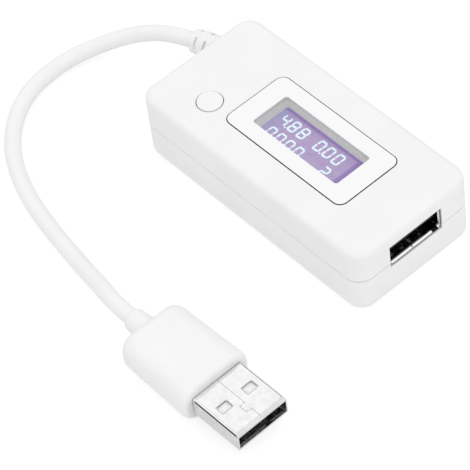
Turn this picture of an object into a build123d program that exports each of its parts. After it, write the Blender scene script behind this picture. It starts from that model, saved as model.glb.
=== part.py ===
"""USB power meter: a two-shell moulded housing with a display, a round mode button and a
USB-A socket at one end, and a short captive cable with a USB-A plug from the other end.

Frame: the origin is the centre of the housing's bottom face, +X runs along the housing
towards the socket, +Y across it, and +Z up out of the display.  Lengths are millimetres.
"""
import os
from math import cos, pi, radians, sin, tan

from build123d import *

os.makedirs("parts", exist_ok=True)

# --- housing --------------------------------------------------------------------------------------
CASE_LENGTH = 61.5
CASE_WIDTH = 29.4
CASE_HEIGHT = 15.6
PARTING_ABOVE_BOARD = 0.85    # the plane where the two shells meet, above the board
WALL = 1.8
CORNER_RADIUS = 3.5           # upright corners
TOP_EDGE_RADIUS = 1.4
BOTTOM_EDGE_RADIUS = 1.2
SEAM_CHAMFER = 0.15           # the fine line round the housing
LIP_HEIGHT = 1.2              # the bottom shell's lip that enters the top shell
LIP_THICKNESS = 0.8
LIP_GAP = 0.1
SNAP_RADIUS = 0.35            # beads on the lip that click into the top shell
SNAP_LENGTH = 7.0
SNAP_SPACING = 26.0
SNAP_GAP = 0.08

# --- circuit board and what carries it ------------------------------------------------------------
SOCKET_HEADROOM = 1.35        # socket's upper side to the housing's ceiling
BOARD_THICKNESS = 1.6
BOARD_SIDE_GAP = 0.5
BOARD_FRONT_GAP = 0.35
BOARD_BACK_ROOM = 2.6         # room behind the board for the cable's clamp
BOARD_CORNER_RADIUS = 1.0
POST_RADIUS = 1.6
POST_PIN_RADIUS = 0.75
POST_PIN_GAP = 0.1
POST_PIN_RISE = 0.8           # how far a pin stands above the board
POST_END_INSET = 2.9          # from the board's ends to the post centres
POST_SIDE_INSET = 1.8
POST_CLAMP_GAP = 0.05         # between the board and the top shell's posts

# --- display --------------------------------------------------------------------------------------
DISPLAY_FROM_FRONT = 27.95    # front end of the housing to the display's centre
BEZEL_LENGTH = 32.4
BEZEL_WIDTH = 15.5
BEZEL_RADIUS = 1.75
BEZEL_GAP = 0.2               # the dark line round the bezel
BEZEL_THICKNESS = 0.25
BEZEL_PROUD = 0.12
LENS_THICKNESS = 1.0
WINDOW_LENGTH = 23.3
WINDOW_WIDTH = 8.9
WINDOW_RADIUS = 0.65
GASKET_WALL = 1.0
GASKET_GAP = 0.1
LCD_DEPTH = 3.0               # housing's top face to the display glass
GLASS_THICKNESS = 1.1
GLASS_MARGIN = 1.35           # glass beyond the window, each side
GLASS_LEDGE = 1.6             # contact ledge of the rear glass
PIN_COUNT = 14
PIN_PITCH = 1.6
PIN_WIDTH = 0.45
PIN_THICKNESS = 0.25
PIN_TAIL = 0.8                # pin below the board
LIGHT_GAP = 0.1               # between the light guide and the board
LED_THICKNESS = 0.8
LED_WIDTH = 3.0
LED_HEIGHT = 1.6

# --- parts under the board: length, width, height, and centre from the display's centre -----------
CONTROLLER_SIZE = (10.0, 4.0, 1.5)
CONTROLLER_PLACE = (-1.5, -2.0)
CONTROLLER_LEAD_COUNT = 8     # on each side
MEMORY_SIZE = (5.0, 4.0, 1.4)
MEMORY_PLACE = (-12.0, 3.0)
MEMORY_LEAD_COUNT = 4
LEAD_SIZE = (0.4, 1.0, 0.2)
LEAD_PITCH = 1.2
SHUNT_SIZE = (6.4, 3.2, 0.7)
SHUNT_PLACE = (9.0, 5.0)
REGULATOR_SIZE = (4.5, 2.5, 1.5)
REGULATOR_PLACE = (-2.0, 4.85)
CAPACITOR_SIZE = (2.0, 1.25, 1.0)
CAPACITOR_PLACES = ((2.5, 3.6), (2.5, 6.4), (-7.5, 6.6), (6.2, -6.2))
RESISTOR_SIZE = (1.6, 0.8, 0.5)
RESISTOR_PLACES = ((7.0, -1.5), (7.0, -3.0), (9.5, -1.5), (9.5, -3.0), (-13.0, -3.5))

# --- mode button and its switch -------------------------------------------------------------------
BUTTON_TO_BEZEL = 2.65        # bezel's rear edge to the button's hole
BUTTON_FROM_SIDE = 8.1        # the housing's -Y side to the button's centre
BUTTON_RADIUS = 2.6
BUTTON_GAP = 0.16
BUTTON_PROUD = 0.3
BUTTON_EDGE_RADIUS = 0.25
BUTTON_FLANGE_RADIUS = 3.6
BUTTON_FLANGE_THICKNESS = 0.7
BUTTON_FLANGE_GAP = 0.06      # under the top wall, when the button is up
BUTTON_STEM_RADIUS = 1.6
BUTTON_TRAVEL = 0.3
SWITCH_SIZE = 4.5
SWITCH_HEIGHT = 3.2
SWITCH_CORNER = 0.4
PLUNGER_RADIUS = 1.2
PLUNGER_GAP = 0.2
PLUNGER_RISE = 1.0            # plunger above the switch body, when up
PLUNGER_DEPTH = 1.2           # plunger inside the switch body, when up
SWITCH_LEG_WIDTH = 0.7
SWITCH_LEG_THICKNESS = 0.25
SWITCH_LEG_SPACING = 3.0

# --- USB-A socket ---------------------------------------------------------------------------------
SOCKET_WIDTH = 13.0
SOCKET_HEIGHT = 5.3
SOCKET_DEPTH = 13.4
SOCKET_SHEET = 0.3
SOCKET_RADIUS = 0.8
SOCKET_SETBACK = 0.3          # shell's rim behind the housing's end face
SOCKET_OPENING_GAP = 0.14     # opening in the housing, round the shell
SOCKET_SEAM_OFFSET = 0.6
SOCKET_SEAM_WIDTH = 0.2
LEAD_IN_LENGTH = 0.7          # the shell's mouth widens over this length
LEAD_IN_WIDENING = 0.2        # on each side
SPRING_LENGTH = 5.2
SPRING_WIDTH = 1.8
SPRING_SPACING = 6.2
SPRING_DIP = 0.45
SPRING_FROM_RIM = 1.6
SPRING_SLOT = 0.35
SIDE_SPRING_WIDTH = 1.6
TONGUE_WIDTH = 11.1
TONGUE_THICKNESS = 1.84
TONGUE_DROP = 0.5             # shell's inner top to the tongue
TONGUE_SETBACK = 0.9          # tongue's tip behind the shell's rim
SOCKET_BLOCK_DEPTH = 3.6      # insulator block at the rear of the shell
SHELL_TAB_WIDTH = 2.2
SHELL_TAB_FROM_RIM = 8.6
CONTACT_WIDTH = 1.0
CONTACT_THICKNESS = 0.3
CONTACT_PLACES = (-3.5, -1.0, 1.0, 3.5)
CONTACT_BOW = 0.3             # how far a contact bows below the tongue
CONTACT_BOW_FALL = 0.8
CONTACT_BOW_FLAT = 1.2
CONTACT_BOW_RISE = 2.0
TAIL_WIDTH = 0.6
TAIL_BELOW_BOARD = 0.7
HOLE_GAP = 0.15               # board holes round tails and tabs

# --- USB-A plug -----------------------------------------------------------------------------------
PLUG_X = 26.5                 # where the shell leaves the overmould
PLUG_Y = -46.45
PLUG_YAW = 0.6                # degrees
SHELL_WIDTH = 12.0
SHELL_HEIGHT = 4.5
SHELL_SHEET = 0.3
SHELL_EXPOSED = 12.2
SHELL_BURIED = 6.0
SHELL_RADIUS = 0.6
LIP_LENGTH = 0.8              # front edge bent inwards
LIP_DROP = 0.4
SHELL_WINDOW_LENGTH = 1.85
SHELL_WINDOW_WIDTH = 2.45
SHELL_WINDOW_RADIUS = 0.3
SHELL_WINDOW_FROM_MOULD = 5.6
SHELL_WINDOW_SPACING = 6.1
SHELL_SEAM_WIDTH = 0.06
SHELL_SEAM_OFFSET = 0.1
DOVETAIL_FROM_MOULD = 7.7     # where the seam turns aside into a dovetail
DOVETAIL_NECK = 1.45
DOVETAIL_DEPTH = 1.2
DOVETAIL_FLARE = 0.35
INSULATOR_THICKNESS = 1.9
INSULATOR_SETBACK = 1.1
INSULATOR_GAP = 0.1
INSULATOR_BLOCK_LENGTH = 7.0
CONTACT_SETBACK = 1.0         # contacts' tips behind the insulator's end
MOULD_LENGTH = 19.0
MOULD_WIDTH = 16.0
MOULD_HEIGHT = 9.0
MOULD_SIDE_RADIUS = 3.9
MOULD_REAR_NARROWING = 0.9    # over the whole length, both sides together
MOULD_REAR_THINNING = 0.7
MOULD_REAR_RADIUS = 2.4
MOULD_FRONT_RADIUS = 1.1
COLLAR_LENGTH = 4.4
COLLAR_RADIUS = 2.85
COLLAR_TIP_RADIUS = 2.25
COLLAR_TIP_ROUND = 0.8

# --- cable and its boot ---------------------------------------------------------------------------
CABLE_DIAMETER = 3.4
CABLE_START_RUN = 5.9         # straight out of the boot
CABLE_END_RUN = 4.7           # straight into the plug
ARC_SHARE = 0.45              # of a bend's shorter run that its arc takes
BOOT_FROM_SIDE = 7.05         # the housing's +Y side to the cable's axis
BOOT_ABOVE_PARTING = 0.33     # cable's axis above the plane where the shells meet
BOOT_LENGTH = 8.5             # outside the housing
BOOT_ROOT_RADIUS = 3.25
BOOT_TIP_RADIUS = 2.5
BOOT_TIP_ROUND = 0.6
BOOT_STATIONS = 5             # sections that the sleeve is drawn through
BOOT_BEND = 18.0              # degrees that the boot bends by, over its length
BOOT_BEND_LEAN = 80.0         # degrees from straight down towards -Y
BOOT_NECK_RADIUS = 3.0
BOOT_NECK_GAP = 0.08
BOOT_FLANGE_RADIUS = 3.6
BOOT_FLANGE_THICKNESS = 1.3
BOOT_SLOT_PITCH = 2.38
BOOT_SLOT_WIDTH = 0.6
BOOT_SLOT_SPAN = 2.4
BOOT_SLOT_FLOOR = 2.15        # radius left under the slots
BOOT_FIRST_SLOT = 1.95
BOOT_SLOT_TURN = 60.0         # degrees that the slots are turned round the boot
JACKET_STUB = 0.5             # jacket end inside, past the boot's flange
WIRE_RADIUS = 0.4
WIRE_SIDE = 0.5               # wires in the jacket, off its axis
WIRE_PITCH = 1.45             # upper wires above the lower ones
WIRE_STRAIGHT = 1.0           # each end of a wire, before it turns
PAD_FROM_BACK = 4.4           # board's rear edge to the solder pads
PAD_SHIFT = 1.75              # pads' centre from the boot's axis, towards -Y
PAD_OUTER = 2.2
PAD_INNER = 0.8
PAD_LENGTH = 1.3
PAD_WIDTH = 1.1
PAD_HEIGHT = 0.9

# --- what every piece needs -----------------------------------------------------------------------
CASE_FRONT = CASE_LENGTH / 2
CASE_BACK = -CASE_LENGTH / 2
INNER_FRONT = CASE_FRONT - WALL
INNER_BACK = CASE_BACK + WALL
CEILING = CASE_HEIGHT - WALL
BOARD_TOP = CEILING - SOCKET_HEADROOM - SOCKET_HEIGHT
PARTING_HEIGHT = BOARD_TOP + PARTING_ABOVE_BOARD
BOARD_FRONT = INNER_FRONT - BOARD_FRONT_GAP
BOARD_BACK = INNER_BACK + BOARD_BACK_ROOM
BOARD_LENGTH = BOARD_FRONT - BOARD_BACK
BOARD_WIDTH = CASE_WIDTH - 2 * (WALL + BOARD_SIDE_GAP)
BOARD_BOTTOM = BOARD_TOP - BOARD_THICKNESS
DISPLAY_X = CASE_FRONT - DISPLAY_FROM_FRONT
LENS_TOP = CASE_HEIGHT + BEZEL_PROUD - BEZEL_THICKNESS
LENS_BOTTOM = LENS_TOP - LENS_THICKNESS
LCD_TOP = CASE_HEIGHT - LCD_DEPTH
BUTTON_X = DISPLAY_X - BEZEL_LENGTH / 2 - BUTTON_TO_BEZEL - BUTTON_RADIUS
BUTTON_Y = BUTTON_FROM_SIDE - CASE_WIDTH / 2
SWITCH_TOP = BOARD_TOP + SWITCH_HEIGHT
PLUNGER_TOP = SWITCH_TOP + PLUNGER_RISE
SOCKET_FRONT = CASE_FRONT - SOCKET_SETBACK
SOCKET_BACK = SOCKET_FRONT - SOCKET_DEPTH
SOCKET_Z = BOARD_TOP + SOCKET_HEIGHT / 2
BOOT_SIDE_OFFSET = CASE_WIDTH / 2 - BOOT_FROM_SIDE
BOOT_Z = PARTING_HEIGHT + BOOT_ABOVE_PARTING
BOOT_AXIS_RADIUS = BOOT_LENGTH / radians(BOOT_BEND)
SHELL_INNER_WIDTH = SHELL_WIDTH - 2 * SHELL_SHEET
SHELL_INNER_HEIGHT = SHELL_HEIGHT - 2 * SHELL_SHEET
PLUG = Pos(PLUG_X, PLUG_Y, MOULD_HEIGHT / 2) * Rot(0, 0, PLUG_YAW)
EPS = 1.0                     # how far a cutter runs past what it cuts

parts = {}


def rounded_slab(length, width, height, radius, x=0.0, y=0.0, z=0.0):
    """A block with rounded upright corners, its bottom centre at x, y, z."""
    return Pos(x, y, z) * extrude(RectangleRounded(length, width, radius), height)


def block(x1, x2, y1, y2, z1, z2):
    """A plain block between two corners."""
    return Pos((x1 + x2) / 2, (y1 + y2) / 2, (z1 + z2) / 2) * Box(x2 - x1, y2 - y1, z2 - z1)


def disc(x, y, z, radius, height):
    """An upright cylinder standing on z."""
    return Pos(x, y, z) * Cylinder(radius, height, align=(Align.CENTER, Align.CENTER, Align.MIN))


def along_x(x, y, z, radius, length):
    """A cylinder that runs from x towards +X."""
    return Pos(x, y, z) * Rot(0, 90, 0) * Cylinder(
        radius, length, align=(Align.CENTER, Align.CENTER, Align.MIN))


def side_profile(points, width, y=0.0):
    """A profile of x, z points, extruded evenly to both sides of y."""
    face = Plane.XZ * make_face(Polyline(*[(x, z) for x, z in points], close=True))
    return Pos(0, y, 0) * extrude(face, width / 2, both=True)


def join(solids):
    """One solid from several that meet."""
    result = solids[0]
    for solid in solids[1:]:
        result += solid
    return result


def post_places():
    """Centres of the four posts that carry the board."""
    side = BOARD_WIDTH / 2 - POST_SIDE_INSET
    ends = (BOARD_BACK + POST_END_INSET, BOARD_FRONT - POST_END_INSET)
    return [(x, y) for x in ends for y in (-side, side)]


# --- openings that both shells share --------------------------------------------------------------


def socket_opening():
    """The rectangular hole in the front wall that the socket shows through."""
    width = SOCKET_WIDTH + 2 * SOCKET_OPENING_GAP
    height = SOCKET_HEIGHT + 2 * SOCKET_OPENING_GAP
    return Pos(INNER_FRONT - LIP_GAP, 0, SOCKET_Z) * Box(
        2 * WALL + 2 * EPS, width, height, align=(Align.CENTER, Align.CENTER, Align.CENTER))


def boot_opening():
    """The round hole across the parting line that clamps the cable boot's neck."""
    return along_x(CASE_BACK - EPS, BOOT_SIDE_OFFSET, BOOT_Z,
                   BOOT_NECK_RADIUS + BOOT_NECK_GAP, WALL + 2 * EPS)


def snap_beads(radius):
    """Beads along the lip's long sides."""
    y = CASE_WIDTH / 2 - WALL + LIP_THICKNESS
    z = PARTING_HEIGHT + LIP_HEIGHT / 2
    beads = []
    for x in (-SNAP_SPACING / 2, SNAP_SPACING / 2):
        for side in (-y, y):
            beads.append(along_x(x - SNAP_LENGTH / 2, side, z, radius, SNAP_LENGTH))
    return beads


def shell_half(z1, z2, corner_radius=CORNER_RADIUS):
    """The housing's outer form between two heights."""
    return rounded_slab(CASE_LENGTH, CASE_WIDTH, z2 - z1, corner_radius, z=z1)


def cavity(z1, z2, thickness=WALL):
    """The room inside a wall of the given thickness."""
    return rounded_slab(CASE_LENGTH - 2 * thickness, CASE_WIDTH - 2 * thickness, z2 - z1,
                        CORNER_RADIUS - thickness, z=z1)


def make_top_cover():
    """Upper shell: display recess and window, button hole, hold-down posts."""
    body = shell_half(PARTING_HEIGHT, CASE_HEIGHT)
    body = fillet(body.faces().sort_by(Axis.Z)[-1].edges(), TOP_EDGE_RADIUS)
    body = chamfer(body.faces().sort_by(Axis.Z)[0].edges(), SEAM_CHAMFER)
    body -= cavity(PARTING_HEIGHT, CEILING)
    lip_room = LIP_HEIGHT + LIP_GAP
    body -= cavity(PARTING_HEIGHT, PARTING_HEIGHT + lip_room, WALL - LIP_THICKNESS - LIP_GAP)
    for x, y in post_places():
        bottom = BOARD_TOP + POST_CLAMP_GAP
        body += disc(x, y, bottom, POST_RADIUS, CEILING - bottom)
        hole = POST_PIN_RISE + POST_PIN_GAP
        body -= disc(x, y, bottom - POST_CLAMP_GAP, POST_PIN_RADIUS + POST_PIN_GAP, hole)
    body -= rounded_slab(BEZEL_LENGTH + 2 * BEZEL_GAP, BEZEL_WIDTH + 2 * BEZEL_GAP, WALL,
                         BEZEL_RADIUS + BEZEL_GAP, x=DISPLAY_X, z=LENS_BOTTOM)
    around = 2 * (GASKET_WALL + GASKET_GAP)
    body -= rounded_slab(WINDOW_LENGTH + around, WINDOW_WIDTH + around, 2 * WALL,
                         WINDOW_RADIUS + around / 2, x=DISPLAY_X, z=CEILING - EPS)
    body -= disc(BUTTON_X, BUTTON_Y, CEILING - EPS, BUTTON_RADIUS + BUTTON_GAP, WALL + 2 * EPS)
    body -= socket_opening()
    body -= boot_opening()
    for bead in snap_beads(SNAP_RADIUS + SNAP_GAP):
        body -= bead
    return body


def make_bottom_cover():
    """Lower shell: floor, lip with snap beads, and posts with locating pins."""
    body = shell_half(0, PARTING_HEIGHT)
    body = fillet(body.faces().sort_by(Axis.Z)[0].edges(), BOTTOM_EDGE_RADIUS)
    body = chamfer(body.faces().sort_by(Axis.Z)[-1].edges(), SEAM_CHAMFER)
    lip = cavity(PARTING_HEIGHT - LIP_HEIGHT, PARTING_HEIGHT + LIP_HEIGHT, WALL - LIP_THICKNESS)
    body += lip
    for bead in snap_beads(SNAP_RADIUS):
        body += bead
    body -= cavity(WALL, PARTING_HEIGHT + LIP_HEIGHT)
    for x, y in post_places():
        body += disc(x, y, WALL, POST_RADIUS, BOARD_BOTTOM - WALL)
        body += disc(x, y, WALL, POST_PIN_RADIUS, BOARD_TOP + POST_PIN_RISE - WALL)
    body -= socket_opening()
    body -= boot_opening()
    return body


# --- display --------------------------------------------------------------------------------------


def make_window():
    """Clear lens with the bezel on it, and the gasket under it."""
    lens = rounded_slab(BEZEL_LENGTH, BEZEL_WIDTH, LENS_THICKNESS, BEZEL_RADIUS,
                        x=DISPLAY_X, z=LENS_BOTTOM)
    window = rounded_slab(WINDOW_LENGTH, WINDOW_WIDTH, CASE_HEIGHT, WINDOW_RADIUS, x=DISPLAY_X)
    bezel = rounded_slab(BEZEL_LENGTH, BEZEL_WIDTH, BEZEL_THICKNESS, BEZEL_RADIUS,
                         x=DISPLAY_X, z=LENS_TOP)
    rim = bezel.faces().sort_by(Axis.Z)[-1].edges()
    bezel = fillet(rim, BEZEL_PROUD / 2)
    bezel -= Pos(0, 0, EPS) * window
    gasket = rounded_slab(WINDOW_LENGTH + 2 * GASKET_WALL, WINDOW_WIDTH + 2 * GASKET_WALL,
                          LENS_BOTTOM - LCD_TOP, WINDOW_RADIUS + GASKET_WALL,
                          x=DISPLAY_X, z=LCD_TOP)
    gasket -= window
    parts["display_bezel"] = bezel
    parts["display_lens"] = lens
    parts["display_gasket"] = gasket


def make_lcd():
    """The two glasses, their pins, and the lit guide behind them."""
    half_length = WINDOW_LENGTH / 2 + GLASS_MARGIN
    half_width = WINDOW_WIDTH / 2 + GLASS_MARGIN
    back, front = DISPLAY_X - half_length, DISPLAY_X + half_length
    middle = LCD_TOP - GLASS_THICKNESS
    low = middle - GLASS_THICKNESS
    parts["lcd_front_glass"] = block(back, front, -half_width, half_width, middle, LCD_TOP)
    parts["lcd_rear_glass"] = block(back, front, -half_width - GLASS_LEDGE, half_width, low, middle)
    guide_bottom = BOARD_TOP + LIGHT_GAP
    led_room = LED_THICKNESS + LIGHT_GAP
    guide = block(back + led_room, front, -half_width, half_width, guide_bottom, low)
    parts["backlight_guide"] = guide
    parts["backlight_led"] = block(back, back + LED_THICKNESS, -LED_WIDTH / 2, LED_WIDTH / 2,
                                   BOARD_TOP, BOARD_TOP + LED_HEIGHT)
    parts["lcd_pins"] = Compound([lcd_pin(x, -half_width - GLASS_LEDGE, middle)
                                  for x in pin_places()])


def pin_places():
    """Where the display's pins stand along the housing."""
    first = DISPLAY_X - PIN_PITCH * (PIN_COUNT - 1) / 2
    return [first + i * PIN_PITCH for i in range(PIN_COUNT)]


def lcd_pin(x, edge, ledge_top):
    """One pin: it lies on the glass ledge, turns down its edge and passes the board."""
    foot = block(x - PIN_WIDTH / 2, x + PIN_WIDTH / 2, edge - PIN_THICKNESS,
                 edge + GLASS_LEDGE / 2, ledge_top, ledge_top + PIN_THICKNESS)
    leg = block(x - PIN_WIDTH / 2, x + PIN_WIDTH / 2, edge - PIN_THICKNESS, edge,
                BOARD_BOTTOM - PIN_TAIL, ledge_top + PIN_THICKNESS)
    return (foot + leg).solid()


# --- board ----------------------------------------------------------------------------------------


def make_board():
    """The circuit board with its holes."""
    board = rounded_slab(BOARD_LENGTH, BOARD_WIDTH, BOARD_THICKNESS, BOARD_CORNER_RADIUS,
                         x=(BOARD_FRONT + BOARD_BACK) / 2, z=BOARD_BOTTOM)
    low, high = BOARD_BOTTOM - EPS, BOARD_TOP + EPS
    for x, y in post_places():
        board -= disc(x, y, low, POST_PIN_RADIUS + POST_PIN_GAP, high - low)
    pin_y = -WINDOW_WIDTH / 2 - GLASS_MARGIN - GLASS_LEDGE - PIN_THICKNESS / 2
    for x in pin_places():
        board -= disc(x, pin_y, low, PIN_WIDTH / 2 + HOLE_GAP, high - low)
    for y in CONTACT_PLACES:
        board -= disc(tail_x(), y, low, TAIL_WIDTH / 2 + HOLE_GAP, high - low)
    tab_x = SOCKET_FRONT - SHELL_TAB_FROM_RIM
    tab_y = SOCKET_WIDTH / 2 - SOCKET_SHEET / 2
    for y in (-tab_y, tab_y):
        board -= Pos(tab_x, y, (low + high) / 2) * Box(
            SHELL_TAB_WIDTH + 2 * HOLE_GAP, SOCKET_SHEET + 2 * HOLE_GAP, high - low)
    parts["main_board"] = board


def tail_x():
    """Where the socket's contact tails pass the board."""
    return SOCKET_BACK - TAIL_WIDTH / 2 - HOLE_GAP


def under_board(size, place):
    """A block that hangs under the board, its centre x, y from the display's centre."""
    length, width, height = size
    x, y = place
    return Pos(DISPLAY_X + x, y, BOARD_BOTTOM - height / 2) * Box(length, width, height)


def gull_leads(chip_size, chip_place, count):
    """Leads on both long sides of a chip."""
    x, y = chip_place
    aside = (chip_size[1] + LEAD_SIZE[1]) / 2
    leads = []
    for i in range(count):
        along = x + LEAD_PITCH * (i - (count - 1) / 2)
        for side in (-aside, aside):
            leads.append(under_board(LEAD_SIZE, (along, y + side)))
    return leads


def make_components():
    """Chips, measuring shunt, regulator and small parts under the board."""
    parts["controller_chip"] = under_board(CONTROLLER_SIZE, CONTROLLER_PLACE)
    parts["memory_chip"] = under_board(MEMORY_SIZE, MEMORY_PLACE)
    leads = gull_leads(CONTROLLER_SIZE, CONTROLLER_PLACE, CONTROLLER_LEAD_COUNT)
    leads += gull_leads(MEMORY_SIZE, MEMORY_PLACE, MEMORY_LEAD_COUNT)
    parts["chip_leads"] = Compound(leads)
    parts["shunt_resistor"] = under_board(SHUNT_SIZE, SHUNT_PLACE)
    parts["regulator"] = under_board(REGULATOR_SIZE, REGULATOR_PLACE)
    parts["capacitors"] = Compound([under_board(CAPACITOR_SIZE, p) for p in CAPACITOR_PLACES])
    parts["resistors"] = Compound([under_board(RESISTOR_SIZE, p) for p in RESISTOR_PLACES])


# --- mode button ----------------------------------------------------------------------------------


def make_button():
    """Cap with its retaining flange and stem, and the switch under it."""
    flange_top = CEILING - BUTTON_FLANGE_GAP
    flange_bottom = flange_top - BUTTON_FLANGE_THICKNESS
    cap = disc(BUTTON_X, BUTTON_Y, flange_bottom, BUTTON_RADIUS,
               CASE_HEIGHT + BUTTON_PROUD - flange_bottom)
    cap = fillet(cap.faces().sort_by(Axis.Z)[-1].edges(), BUTTON_EDGE_RADIUS)
    cap += disc(BUTTON_X, BUTTON_Y, flange_bottom, BUTTON_FLANGE_RADIUS, BUTTON_FLANGE_THICKNESS)
    cap += disc(BUTTON_X, BUTTON_Y, PLUNGER_TOP, BUTTON_STEM_RADIUS, flange_bottom - PLUNGER_TOP)
    parts["mode_button"] = cap

    well = PLUNGER_RADIUS + PLUNGER_GAP
    well_depth = PLUNGER_DEPTH + BUTTON_TRAVEL + PLUNGER_GAP
    body = rounded_slab(SWITCH_SIZE, SWITCH_SIZE, SWITCH_HEIGHT, SWITCH_CORNER,
                        x=BUTTON_X, y=BUTTON_Y, z=BOARD_TOP)
    body -= disc(BUTTON_X, BUTTON_Y, SWITCH_TOP - well_depth, well, well_depth + EPS)
    parts["switch_body"] = body
    parts["switch_plunger"] = disc(BUTTON_X, BUTTON_Y, SWITCH_TOP - PLUNGER_DEPTH,
                                   PLUNGER_RADIUS, PLUNGER_DEPTH + PLUNGER_RISE)
    legs = []
    for y in (-SWITCH_LEG_SPACING / 2, SWITCH_LEG_SPACING / 2):
        for side in (-1, 1):
            near = BUTTON_X + side * SWITCH_SIZE / 2
            low, high = sorted((near, near + side * SWITCH_LEG_WIDTH))
            legs.append(block(low, high, BUTTON_Y + y - SWITCH_LEG_WIDTH / 2,
                              BUTTON_Y + y + SWITCH_LEG_WIDTH / 2,
                              BOARD_TOP, BOARD_TOP + SWITCH_LEG_THICKNESS))
    parts["switch_legs"] = Compound(legs)


# --- socket ---------------------------------------------------------------------------------------


def tube_of_sheet(x1, x2, width, height, sheet, radius, z):
    """A rectangular sheet-metal tube with rounded folds, along X."""
    outer = extrude(RectangleRounded(height, width, radius), x2 - x1)
    inner = extrude(RectangleRounded(height - 2 * sheet, width - 2 * sheet, radius - sheet),
                    x2 - x1 + 2 * EPS)
    turn = Pos(x1, 0, z) * Rot(0, 90, 0)
    return turn * outer - Pos(-EPS, 0, 0) * turn * inner


def spring_leaf(rim, sheet, wall_z, side):
    """A leaf cut out of a wall and bent inwards; side is 1 for the top wall, -1 below."""
    root = rim - SPRING_FROM_RIM - SPRING_LENGTH
    tip = rim - SPRING_FROM_RIM - SPRING_SLOT
    knee = tip - SPRING_LENGTH / 4
    points = [(root - SPRING_SLOT, 0), (root, 0), (knee, -SPRING_DIP), (tip, -SPRING_DIP / 3)]
    outline = [(x, wall_z + side * z) for x, z in points]
    outline += [(x, wall_z + side * (z - sheet)) for x, z in reversed(points)]
    return outline


def lead_in():
    """The widened mouth that guides a plug into the socket."""
    height, width = SOCKET_HEIGHT - 2 * SOCKET_SHEET, SOCKET_WIDTH - 2 * SOCKET_SHEET
    radius = SOCKET_RADIUS - SOCKET_SHEET
    wider = 2 * LEAD_IN_WIDENING
    turn = Pos(SOCKET_FRONT, 0, SOCKET_Z) * Rot(0, 90, 0)
    mouth = RectangleRounded(height + wider, width + wider, radius + LEAD_IN_WIDENING)
    throat = Pos(0, 0, -LEAD_IN_LENGTH) * RectangleRounded(height, width, radius)
    return turn * loft([throat.face(), mouth.face()])


def make_socket_shell():
    """Sheet-metal shell with four pressing springs, two side springs, a seam and two tabs."""
    shell = tube_of_sheet(SOCKET_BACK, SOCKET_FRONT, SOCKET_WIDTH, SOCKET_HEIGHT,
                          SOCKET_SHEET, SOCKET_RADIUS, SOCKET_Z)
    mid = SOCKET_FRONT - SPRING_FROM_RIM - SPRING_LENGTH / 2
    for y in (-SPRING_SPACING / 2, SPRING_SPACING / 2):
        shell -= Pos(mid, y, SOCKET_Z) * Box(
            SPRING_LENGTH, SPRING_WIDTH + 2 * SPRING_SLOT, SOCKET_HEIGHT + EPS)
        for side in (-1, 1):
            outline = spring_leaf(SOCKET_FRONT, SOCKET_SHEET,
                                  SOCKET_Z + side * SOCKET_HEIGHT / 2, side)
            shell += side_profile(outline, SPRING_WIDTH, y)
    shell -= Pos(mid, 0, SOCKET_Z) * Box(
        SPRING_LENGTH, SOCKET_WIDTH + EPS, SIDE_SPRING_WIDTH + 2 * SPRING_SLOT)
    for side in (-1, 1):
        outline = spring_leaf(SOCKET_FRONT, SOCKET_SHEET, side * SOCKET_WIDTH / 2, side)
        face = make_face(Polyline(*outline, close=True))
        shell += Pos(0, 0, SOCKET_Z) * extrude(face, SIDE_SPRING_WIDTH / 2, both=True)
    seam = SOCKET_SEAM_WIDTH
    shell -= block(SOCKET_BACK - EPS, SOCKET_FRONT + EPS, -SOCKET_SEAM_OFFSET - seam / 2,
                   -SOCKET_SEAM_OFFSET + seam / 2, BOARD_TOP - EPS, BOARD_TOP + SOCKET_SHEET)
    shell -= lead_in()
    tab_x = SOCKET_FRONT - SHELL_TAB_FROM_RIM
    tab_y = (SOCKET_WIDTH - SOCKET_SHEET) / 2
    tab_low = BOARD_BOTTOM - TAIL_BELOW_BOARD
    for y in (-tab_y, tab_y):
        shell += block(tab_x - SHELL_TAB_WIDTH / 2, tab_x + SHELL_TAB_WIDTH / 2,
                       y - SOCKET_SHEET / 2, y + SOCKET_SHEET / 2,
                       tab_low, BOARD_TOP + SOCKET_RADIUS)
    parts["usb_socket_shell"] = shell


def make_socket_insulator():
    """Block at the shell's rear with its tongue, and the contacts let into it."""
    room = SOCKET_HEIGHT / 2 - SOCKET_SHEET
    side_room = SOCKET_WIDTH / 2 - SOCKET_SHEET
    tongue_top = SOCKET_Z + room - TONGUE_DROP
    tongue_bottom = tongue_top - TONGUE_THICKNESS
    tongue_tip = SOCKET_FRONT - TONGUE_SETBACK
    block_half = room - INSULATOR_GAP
    insulator = Pos(SOCKET_BACK, 0, SOCKET_Z) * Rot(0, 90, 0) * extrude(
        RectangleRounded(2 * block_half, 2 * (side_room - INSULATOR_GAP),
                         SOCKET_RADIUS - SOCKET_SHEET), SOCKET_BLOCK_DEPTH)
    tongue = block(SOCKET_BACK, tongue_tip, -TONGUE_WIDTH / 2, TONGUE_WIDTH / 2,
                   tongue_bottom, tongue_top)
    nose = tongue.edges().filter_by(Axis.Y).sort_by(Axis.X)[-2:]
    insulator += chamfer(nose, TONGUE_THICKNESS / 4)
    contacts = [socket_contact(y, tongue_bottom, tongue_tip) for y in CONTACT_PLACES]
    for contact in contacts:
        insulator -= contact
    parts["usb_socket_insulator"] = insulator
    parts["usb_socket_contacts"] = Compound(contacts)


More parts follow.
